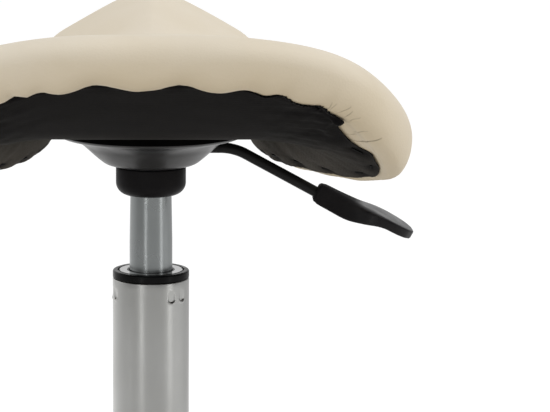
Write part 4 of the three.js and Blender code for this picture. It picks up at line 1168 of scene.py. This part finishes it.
def upholstery():
    rays = Rays(finer_shares(*COVER_SHARES))
    distances, heights = cover_course(rays)
    run = lap_run(distances, heights)
    points = rays.points(distances, heights)
    loose_share = smoothstep(np.arange(len(distances)), 4, 20)[:, None]
    uneven = waves(points[..., 0], points[..., 1] + points[..., 2], UNEVEN_REACH, 1.3)
    lift = UNEVENNESS * uneven * loose_share
    share = np.minimum(rays.run, rays.girth - rays.run) / rays.girth
    around = np.exp(-(((share - FLANK_SHARE) / FLANK_SPREAD) ** 2))
    lift += FLANK_BULGE * around * smoothstep(run, 0.008, 0.02) * (1 - smoothstep(run, 0.05, 0.08))
    edge = smoothstep(-run, -0.03, -0.012) * (run > 0)
    gathers = np.sin(rays.run / GATHER_STEP * 2 * math.pi + 3 * np.sin(rays.run / 0.03)) * edge
    gathers *= GATHER_DEPTH * staple_pull(rays, GATHER_REACH)
    creases = crease_depths(rays, run)
    points += normals(points) * (lift + gathers - creases)[..., None]
    rings = [[(0, 0, saddle_top(0, 0))], *points]
    made = piece("seat_upholstery", inside_out(grid(rings)), "seat", "cream_vinyl", "seat_cover", sharp=80)
    # how much painted shade each crease puts into the vinyl's colour
    write_layer(made, "crease_shade", np.clip(creases / CREASE_FULL, 0, 1))
    thicken(made, COVER_SKIN, -1)


def padding():
    """The moulded foam pad between the shell and the cover."""
    rays = Rays(np.arange(0, 1, 1 / 180))
    distances, heights = cover_course(rays, 24, 10, 12)
    keep = len(distances) - len(MARGIN_INSETS)
    along = np.gradient(np.stack([distances, heights], -1), axis=0)
    along /= np.maximum(np.linalg.norm(along, axis=2, keepdims=True), 1e-9)
    inset = COVER_SKIN + 3 * SEAT_GAP
    outer_d = distances + along[..., 1] * inset
    outer_z = heights - along[..., 0] * inset
    wall = rays.reach - SHELL_INSET + SEAT_GAP

    margin = rays.reach - COVER_MARGIN

    def bed(distance):
        share = smoothstep(distance, margin - MARGIN_EASE, margin)
        lift = DUST_SHEET + SHELL_THICKNESS + 2 * SEAT_GAP + share * (COVER_SKIN + SEAT_GAP)
        return rays.under(distance) + lift

    rings = [[(0, 0, saddle_top(0, 0) - inset)]]
    rings += [rays.points(outer_d[j], outer_z[j]) for j in range(keep - 1)]
    for ring in (keep - 1, keep):
        rings.append(rays.points(distances[ring], heights[ring] + inset))
    rings.append(rays.points(wall, heights[keep + 1] + inset))
    for distance in (wall, margin, margin - MARGIN_EASE, rays.flat):
        rings.append(rays.points(distance, bed(distance)))
    rings.append([(0, 0, bed(0 * rays.reach)[0])])
    made = piece("seat_padding", inside_out(grid(rings)), "seat", "cushion_foam", "seat_foam", sharp=60)


# Dust cloth

CLOTH_THICKNESS = 0.0005
CLOTH_STEPS = 46
CLOTH_SHARES = (0.0023, 0.0005, 0.05, 0.13)  # as COVER_SHARES
CLOTH_MIDDLE = np.array([[0.08], [0.25], [0.45], [0.65], [0.82], [0.94]])  # rings in the flat middle
TUCK_DEPTH = 0.0018  # at a staple
TUCK_REACH = 0.008
HEM_RISE = 0.0004
STAPLE_CROWN = 0.009
STAPLE_WIRE = 0.0006
STAPLE_INSET = 0.0065  # in from the cloth's edge
KNOT_SHARE = 0.1125
KNOT_HEIGHT = 0.0032
KNOT_HALF = 0.0042  # as a share of the outline

# Where the cloth's folded edge runs: millimetres out from the lap inset, at places along the
# outline. The right rear is as the photo shows it, and the rest runs evenly
CLOTH_EDGES = (
    (-0.15, 7.2), (0, 7.2), (0.045, 7.2), (0.058, 11.4), (0.0625, 12.6), (0.066, 14.2), (0.07, 12.9),
    (0.074, 11.3), (0.078, 12.2), (0.082, 13), (0.086, 13.2), (0.09, 12.9), (0.094, 12), (0.0995, 11.5),
    (0.104, 11.2), (0.107, 10.6), (0.1095, 11.2), (0.1125, 11.2),
    (0.1143, 10.2), (0.1158, 8.3), (0.1172, 5), (0.119, 0.5),
    (0.1215, -3), (0.125, -5.6), (0.134, -7), (0.1445, -6.4), (0.1525, -4), (0.157, 0), (0.16, 2.3),
    (0.167, 2.6), (0.178, 3.4), (0.1915, 3.6), (0.2015, 3.8), (0.211, 3.2), (0.24, 3.1), (0.275, 3.5),
    (0.3025, 3.9), (0.33, 5.5), (0.36, 7), (0.85, 7.2),
)


def cloth_edge(rays):
    """How far the cloth's folded edge reaches past the lap inset."""
    share, run = rays.run / rays.girth, rays.run
    rows = np.array(CLOTH_EDGES)
    edge = np.interp(share, rows[:, 0], rows[:, 1]) / 1000
    fray = 0.0005 * np.sin(run / 0.0043 * 6.28) * np.sin(run / 0.0117 * 6.28 + 1)
    fray += 0.0003 * np.sin(run / 0.0019 * 6.28 + 2 * np.sin(run / 0.006))
    corner = np.exp(-(((share - 0.1) / 0.014) ** 2))
    teeth = 0.0014 * np.sin(run / 0.0023 * 6.28 + 2.5 * np.sin(run / 0.0041)) * smoothstep(share, 0.05, 0.075)
    smooth = 1 - smoothstep(share, 0.1035, 0.1085)
    return edge + fray * (0.25 + 1.3 * corner * smooth) + teeth * smooth


def cloth_base(rays):
    """The cover's outside as the cloth meets it: distances, heights and run outward from the lap
    inset, from the flat middle to the roll."""
    distances, heights = cover_course(rays)
    run = lap_run(distances, heights)
    lap = rays.reach - LAP_INSET
    inner = np.array([rays.flat + (lap - rays.flat) * share for share in np.linspace(0, 1, 40)[:-1]])
    level = rays.under(inner) + DUST_SHEET + SEAT_GAP
    to_lap = np.diff(np.vstack([inner, lap]), axis=0)
    up_to_lap = np.diff(np.vstack([level, heights[LAP_RING]]), axis=0)
    behind = -np.cumsum(np.hypot(to_lap, up_to_lap)[::-1], axis=0)[::-1]
    first = len(distances) + LAP_RING
    pairs = ((inner, distances), (level, heights), (behind, run))
    return (np.vstack([under, over[first::-1]]) for under, over in pairs)


def cloth():
    rays = Rays(finer_shares(*CLOTH_SHARES))
    base_d, base_z, base_run = cloth_base(rays)
    edge = cloth_edge(rays)
    share = np.linspace(1, 0, CLOTH_STEPS)[:, None] ** 1.7
    run = edge + (base_run[0] - edge) * share
    ring_d, ring_z = np.zeros_like(run), np.zeros_like(run)
    for i in range(run.shape[1]):
        ring_d[:, i] = np.interp(run[:, i], base_run[:, i], base_d[:, i])
        ring_z[:, i] = np.interp(run[:, i], base_run[:, i], base_z[:, i])
    middle = CLOTH_MIDDLE * rays.flat
    gap = DUST_SHEET + SEAT_GAP
    ring_d = np.vstack([middle, ring_d])
    ring_z = np.vstack([rays.under(middle) + gap, ring_z])
    run = np.vstack([middle - rays.flat + base_run[0], run])
    points = rays.points(ring_d, ring_z)
    normal = -normals(points)
    inside = edge - run
    x, y = points[..., 0], points[..., 1]
    side = smoothstep(np.abs(x), 0.05, 0.11)
    free = smoothstep(inside, 0.002, 0.014) * smoothstep(ring_d - rays.flat, 0, 0.02)
    soft = 0.0001 + 0.0002 * waves(x * 0.7, y * 1.2, 0.04, 2.1)
    soft += side * (0.0011 + 0.001 * waves(x, y, 0.022, 4.4) + 0.0004 * waves(x, y, 0.009, 1.2))
    tuck = staple_pull(rays, TUCK_REACH) * np.exp(-(((inside - 0.8 * STAPLE_INSET) / 0.0055) ** 2))
    hem = HEM_RISE * (1 - smoothstep(inside, 0.011, 0.013))
    away = (rays.run / rays.girth - KNOT_SHARE) / KNOT_HALF
    knot = KNOT_HEIGHT * np.exp(-(away**4)) * np.exp(-(((inside - 0.003) / 0.0045) ** 4))
    knot *= (1 + 0.25 * waves(x, y + points[..., 2], 0.005, 0.7)) * smoothstep(inside, 0, 0.0016)
    lift = gap * (1 - 0.45 * smoothstep(-inside, -0.008, 0)) + soft * free + hem - TUCK_DEPTH * tuck + knot
    points += normal * np.maximum(lift, SEAT_GAP)[..., None]
    rings = [[(0, 0, SEAT_BASE)], *points]
    made = piece("underside_cloth", grid(rings), "seat", "dust_fabric", "dust_cover", sharp=80)
    # the dimples' layer, which gives painted shade in the cloth's colour
    write_layer(made, "tuck", tuck)
    thicken(made, CLOTH_THICKNESS, 1)
    staples(rays, points, normal, inside)


def staples(rays, points, normal, inside):
    """Wire staples through the cloth's folded edge, as one piece."""
    corners, faces = [], []
    half, wire = STAPLE_CROWN / 2, STAPLE_WIRE
    leg = [(half - wire, wire), (half, 0), (half, -3 * wire)]
    path = [(-a, b) for a, b in leg[::-1]] + leg
    section = ((wire, -wire / 2), (wire, wire / 2), (-wire, wire / 2), (-wire, -wire / 2))
    for share in STAPLES:
        i = int(np.argmin(np.abs(rays.run - share * rays.girth)))
        ring = int(np.argmin(np.abs(inside[:, i] - STAPLE_INSET)))
        out = normal[ring, i]
        middle = points[ring, i] + out * CLOTH_THICKNESS
        along = points[ring, (i + 1) % len(rays.run)] - points[ring, i]
        along -= out * np.dot(along, out)
        along /= np.linalg.norm(along)
        side = np.cross(out, along)
        rings = []
        for a, b in path:
            centre = middle + along * a + out * b
            rings.append([centre + side * p + (out + along * np.sign(a) * -0.3) * q for p, q in section])
        wire_points, wire_faces = weld(grid(rings, "flat"))
        faces += [[v + len(corners) for v in face] for face in wire_faces]
        corners += list(wire_points)
    piece("cloth_staples", (corners, faces), "seat", "black_enamel", look="staple_enamel", sharp=30)


# Five-star base and casters

LEG_COUNT = 5
LEG_REACH = sum(corner.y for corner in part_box("caster_1_stem")) / 2
LEG_WALL = 0.0025
HUB_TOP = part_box("star_base")[1].z
LEG_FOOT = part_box("star_base")[0].z
LEG_RISE = 0.004
LEG_SAG = 0.007
LEG_HALF_WIDTHS = (0.021, 0.0125)
LEG_HEIGHTS = (0.050, 0.021)
LEG_CORNER = 0.009
LEG_BOSS = 0.013
LEG_END_ROUND = 0.003
HUB_RADIUS = 0.031
HUB_HEIGHT = 0.060
HUB_ROUND = 0.003
HUB_CHAMFER = 0.001
STEM_SOCKET = 0.0060
STEM_LENGTH = 0.019


def leg_shape():
    start = COLUMN_RADIUS + LEG_WALL
    rings = []
    for share in np.linspace(0, 1, 25):
        x = lerp((start, LEG_REACH), share)
        half = lerp(LEG_HALF_WIDTHS, share)
        foot = LEG_FOOT + lerp((LEG_RISE, 0), share)
        top = foot + lerp(LEG_HEIGHTS, share) - 4 * LEG_SAG * share * (1 - share)

        def arch(inset):
            right = [(half - inset, foot), *corner(half - inset, top - inset, LEG_CORNER - inset, 7)]
            return right + [(-y, z) for y, z in right[::-1]]

        loop = arch(0) + arch(LEG_WALL)[::-1]
        rings.append([(x, y, z) for y, z in loop])
    return weld(grid(rings, "flat"))


def star():
    hub_foot = HUB_TOP - HUB_HEIGHT
    hub = turned([(0, hub_foot), (HUB_RADIUS - HUB_CHAMFER, hub_foot), (HUB_RADIUS, hub_foot + HUB_CHAMFER),
                  *corner(HUB_RADIUS, HUB_TOP, HUB_ROUND, 6), (0, HUB_TOP)], 96)
    boss = post(LEG_BOSS, LEG_FOOT, LEG_FOOT + LEG_HEIGHTS[1], LEG_END_ROUND, 6, 48)
    socket = peg(STEM_SOCKET, LEG_FOOT - OVERRUN, LEG_FOOT + STEM_LENGTH + SEAT_GAP, 36)
    low, high = hub_foot - OVERRUN, HUB_TOP + OVERRUN
    narrow, wide = column_radius_at(low) + SEAT_GAP, COLUMN_RADIUS + SEAT_GAP
    bore = turned([(0, low), (narrow, low), (wide, HUB_TOP), (wide, high), (0, high)])
    leg = leg_shape()
    turns = [Matrix.Rotation(math.pi / 2 + i * 2 * math.pi / LEG_COUNT, 4, "Z") for i in range(LEG_COUNT)]
    out = Matrix.Translation((LEG_REACH, 0, 0))
    legs = [moved(leg, turn) for turn in turns]
    bosses, sockets = ([moved(shape, turn @ out) for turn in turns] for shape in (boss, socket))
    shape = combined(hub, joined=legs + bosses, removed=[bore, *sockets])
    piece("star_frame", shape, "base", "base_chrome", "star_base", sharp=32)


WHEEL_RADIUS = (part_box("caster_1_wheel_inner")[1].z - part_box("caster_1_wheel_inner")[0].z) / 2
AXLE_HEIGHT = WHEEL_RADIUS
WHEEL_WIDTH = 0.017
WHEEL_GAP = 0.0008
WHEEL_TREAD_ROUND = 0.003
WHEEL_CHAMFER = 0.001
WHEEL_RIM = (0.0055, 0.0003)  # in from the tread, and its depth, as the next ones' second number is
WHEEL_BEAD = (0.0165, 0.0012)
WHEEL_DISH = ((0.0155, 0.0024), (0.0085, 0.0024), (0.0080, 0.0012))
CAP_EDGE = (0.0066, 0.0018)
CAP_ROUND = 0.0014
CAP_HOLE = ((0.0018, 0.0002), (0.0018, 0.003))
CASTER_WEB = 0.011
CASTER_WEB_RADIUS = 0.017
CASTER_TRAIL = 0.025
HOOD_GAP = 0.0019
HOOD_WALL = 0.0024
HOOD_INSET = 0.0015
HOOD_ENDS = (24, 178)  # degrees
HOOD_ROUND = 0.0008
BOSS_RADIUS = 0.0085
BOSS_ROUND = 0.001
CASTER_HEIGHT = 0.061
AXLE_RADIUS = 0.003
STEM_HOLE = 0.0035
STEM_HOLE_DEPTH = 0.0253


def wheel_shape():
    half = WHEEL_WIDTH / 2
    bore = AXLE_RADIUS + SEAT_GAP

    def face(radius, depth):
        return radius, half - depth

    profile = [
        (bore, -half),
        (WHEEL_RADIUS - WHEEL_CHAMFER, -half),
        (WHEEL_RADIUS, -half + WHEEL_CHAMFER),
        *corner(WHEEL_RADIUS, half, WHEEL_TREAD_ROUND, 6),
        face(WHEEL_RADIUS - WHEEL_RIM[0], WHEEL_RIM[1]),
        *arc(face(*WHEEL_BEAD), WHEEL_BEAD[1], 80, -60, 5),
        *[face(*place) for place in WHEEL_DISH],
        *arc(face(*CAP_EDGE), CAP_ROUND, 25, 90, 4),
        *[face(*place) for place in CAP_HOLE],
        face(bore, CAP_HOLE[1][1]),
    ]
    return moved(turned(profile, 72), Matrix.Rotation(-math.pi / 2, 4, "X"))


def hood_shape():
    inner = WHEEL_RADIUS + HOOD_GAP
    outer = inner + HOOD_WALL
    half = CASTER_WEB / 2 + WHEEL_GAP + WHEEL_WIDTH - HOOD_INSET
    centre = (CASTER_TRAIL, AXLE_HEIGHT)
    arch = arc(centre, outer, *HOOD_ENDS, 40) + arc(centre, inner, *HOOD_ENDS[::-1], 40)
    web = [
        (-BOSS_RADIUS, CASTER_HEIGHT - HOOD_WALL),
        (-BOSS_RADIUS, AXLE_HEIGHT + BOSS_RADIUS),
        (CASTER_TRAIL - CASTER_WEB_RADIUS, AXLE_HEIGHT),
        *arc(centre, CASTER_WEB_RADIUS, 180, 396, 30)[1:],
        (CASTER_TRAIL, AXLE_HEIGHT + (inner + outer) / 2),
        (BOSS_RADIUS, CASTER_HEIGHT - HOOD_WALL),
    ]
    arch, web = (rounded(prism(*row), HOOD_ROUND) for row in ((arch, half), (web, CASTER_WEB / 2)))
    boss = post(BOSS_RADIUS, AXLE_HEIGHT + inner, CASTER_HEIGHT, BOSS_ROUND, 4, 40)
    pin = peg(STEM_HOLE, CASTER_HEIGHT - STEM_HOLE_DEPTH, CASTER_HEIGHT + OVERRUN, 28)
    axle = cross_bore(AXLE_RADIUS + SEAT_GAP, (CASTER_TRAIL, 0, AXLE_HEIGHT), 28)
    return combined(arch, joined=[web, boss], removed=[pin, axle])


def casters():
    hood, wheel = hood_shape(), wheel_shape()
    offset = CASTER_WEB / 2 + WHEEL_GAP + WHEEL_WIDTH / 2
    for i in range(LEG_COUNT):
        angle = math.pi / 2 + i * 2 * math.pi / LEG_COUNT
        place = Matrix.Translation((LEG_REACH * math.cos(angle), LEG_REACH * math.sin(angle), 0))
        place = place @ Matrix.Rotation(-math.pi / 2, 4, "Z")
        name = f"caster_{i + 1}"
        piece(f"{name}_hood", moved(hood, place), name, "black_plastic", f"{name}_housing", sharp=32)
        for side, sign in (("inner", 1), ("outer", -1)):
            turn = Matrix.Rotation(0 if sign > 0 else math.pi, 4, "X")
            spot = place @ Matrix.Translation((CASTER_TRAIL, sign * offset, AXLE_HEIGHT)) @ turn
            body = f"{name}_wheel_{side}"
            piece(f"{name}_roller_{side}", moved(wheel, spot), body, "wheel_plastic", body, sharp=32)


# Light, floor and camera

FLOOR_HALF = 14
FLOOR_GREY = (0.55, 0.55, 0.55, 1)
FLOOR_GLOW = 0.55
FLOOR_BOUNCE = (0.55, 0.50, 0.41, 1)  # warm on what the floor lights
FLOOR_MIRROR = (0.48, 0.48, 0.475, 1)  # and neutral in a reflection
FLOOR_NEAR = (-1.0, 1.2, 0.2, 1.0)  # from here to there along Y, its white in a reflection
CARD_ACROSS = (0.2, 0.7)  # along X and Y, what a reflection misses of the floor behind on the right
CARD_ALONG = (-0.3, 0.9, 0.0, 0.45)
CARD_LEFT = (-0.6, -1.5, 0.0, 0.35)
WORLD_LIGHT = (-0.95, 0.45, 0.76, 0.88)
WORLD_MIRROR = (-0.5, 0.6, 0.3, 0.92)  # darker towards the camera's side, as a studio's open side is
WORLD_CARD = (0.22, 0.5, 1.0, 0.45)  # darker on the right, as a grey card there is
WHITE = (1, 1, 1, 1)
BLACK = (0, 0, 0, 1)
LAMP_TARGET = (0, 0, 0.35)
LAMPS = (  # name, place, size, power, and whether a reflection shows it
    ("overhead", (0.2, 0.3, 2.4), 1.8, 7.5, True),
    ("low_left", (-1.2, -0.5, 0.15), 0.4, 2.5, False),
    ("right_fill", (1.6, -0.4, 0.9), 1.0, 6, False),
)
# Upright strips: name, degrees from -Y, width and power
STRIPS = (("left_strip", -28, 0.10, 0.8), ("right_strip", 58, 0.16, 0.85))
STRIP_REACH = 1.25
STRIP_HEIGHT = 0.45
STRIP_LENGTH = 0.9


def world():
    made = bpy.data.worlds.new("studio")
    bpy.context.scene.world = made
    made.use_nodes = True
    nodes = Nodes(made.node_tree)
    sides = nodes.sides("Generated")
    rays = nodes.add("LightPath").outputs
    mirrored = nodes.times(nodes.ramp(sides["Y"], *WORLD_MIRROR), nodes.ramp(sides["X"], *WORLD_CARD))
    lit = nodes.ramp(sides["Y"], *WORLD_LIGHT)
    shown = nodes.add("Mix", {0: rays["Is Glossy Ray"], 2: lit, 3: mirrored}).outputs[0]
    clear = nodes.math("MAXIMUM", rays["Is Camera Ray"], rays["Is Transmission Ray"])
    shown = nodes.add("Mix", {0: clear, 2: shown, 3: 1.0}).outputs[0]
    background = made.node_tree.nodes["Background"].inputs
    nodes.feed(background["Strength"], shown)
    nodes.feed(background["Color"], WHITE)


def floor():
    low, high = -FLOOR_HALF, FLOOR_HALF
    corners = [(x, y, cad_box[0].z) for x, y in ((low, low), (high, low), (high, high), (low, high))]
    mesh = mesh_of("floor", (corners, [(0, 1, 2, 3)]))
    material = bpy.data.materials.new("pale_floor")
    material.use_nodes = True
    nodes = Nodes(material.node_tree)
    nodes.tree.nodes.clear()

    def shader(kind, *inputs):
        return nodes.add(kind, dict(enumerate(inputs))).outputs[0]

    sides = nodes.sides()
    rays = nodes.add("LightPath").outputs
    white = shader("AddShader", shader("BsdfDiffuse", FLOOR_GREY), shader("Emission", WHITE, FLOOR_GLOW))
    pale = shader("BsdfDiffuse", nodes.mix(rays["Is Diffuse Ray"], FLOOR_MIRROR, FLOOR_BOUNCE))
    mirrored = nodes.times(rays["Is Glossy Ray"], nodes.ramp(sides["Y"], *FLOOR_NEAR))
    seen = nodes.math("MAXIMUM", rays["Is Camera Ray"], mirrored)
    seen = nodes.math("MAXIMUM", seen, rays["Is Transmission Ray"])
    missed = nodes.times(nodes.ramp(sides["X"], *CARD_ACROSS), nodes.ramp(sides["Y"], *CARD_ALONG))
    missed = nodes.math("ADD", missed, nodes.ramp(sides["X"], *CARD_LEFT))
    missed = nodes.times(rays["Is Glossy Ray"], missed)
    shown = shader("MixShader", seen, pale, white)
    shown = shader("MixShader", missed, shown, shader("BsdfDiffuse", BLACK))
    nodes.add("OutputMaterial", {"Surface": shown}).is_active_output = True
    mesh.materials.append(material)
    placed("floor", mesh)


def softbox(name, place, target, width, height, power, mirrored=True):
    lamp = bpy.data.lights.new(name, "AREA")
    lamp.shape, lamp.size, lamp.size_y, lamp.energy = "RECTANGLE", width, height, power
    made = placed(name, lamp)
    made.location = place
    made.rotation_mode = "QUATERNION"
    made.rotation_quaternion = (Vector(target) - Vector(place)).to_track_quat("-Z", "Y")
    made.visible_camera = False
    made.visible_glossy = mirrored


def lights():
    for name, place, size, power, mirrored in LAMPS:
        softbox(name, place, LAMP_TARGET, size, size, power, mirrored)
    for name, turn, width, power in STRIPS:
        angle = math.radians(turn)
        place = (STRIP_REACH * math.sin(angle), -STRIP_REACH * math.cos(angle), STRIP_HEIGHT)
        softbox(name, place, (0, 0, STRIP_HEIGHT), width, STRIP_LENGTH, power)


def camera():
    data = bpy.data.cameras.new("camera")
    data.sensor_width = SENSOR
    data.lens = SENSOR * FOCAL_PIXELS / PHOTO_WIDTH
    made = placed("camera", data)
    flat = math.cos(CAMERA_PITCH)
    ahead = Vector((math.sin(CAMERA_YAW) * flat, math.cos(CAMERA_YAW) * flat, -math.sin(CAMERA_PITCH)))
    right = ahead.cross(Vector((0, 0, 1))).normalized()
    up = right.cross(ahead)
    c, s = math.cos(CAMERA_ROLL), math.sin(CAMERA_ROLL)
    right, up = right * c + up * s, up * c - right * s
    made.matrix_world = Matrix.Translation(CAMERA_PLACE) @ Matrix((right, up, -ahead)).transposed().to_4x4()
    bpy.context.scene.camera = made


camera()
world()
floor()
lights()
bpy.context.scene.view_settings.view_transform = "Standard"

outer_tube()
ring_bush()
inner_tube()
collar()
bowl()
lever_rod()
paddle()
upholstery()
padding()
cloth()
star()
casters()
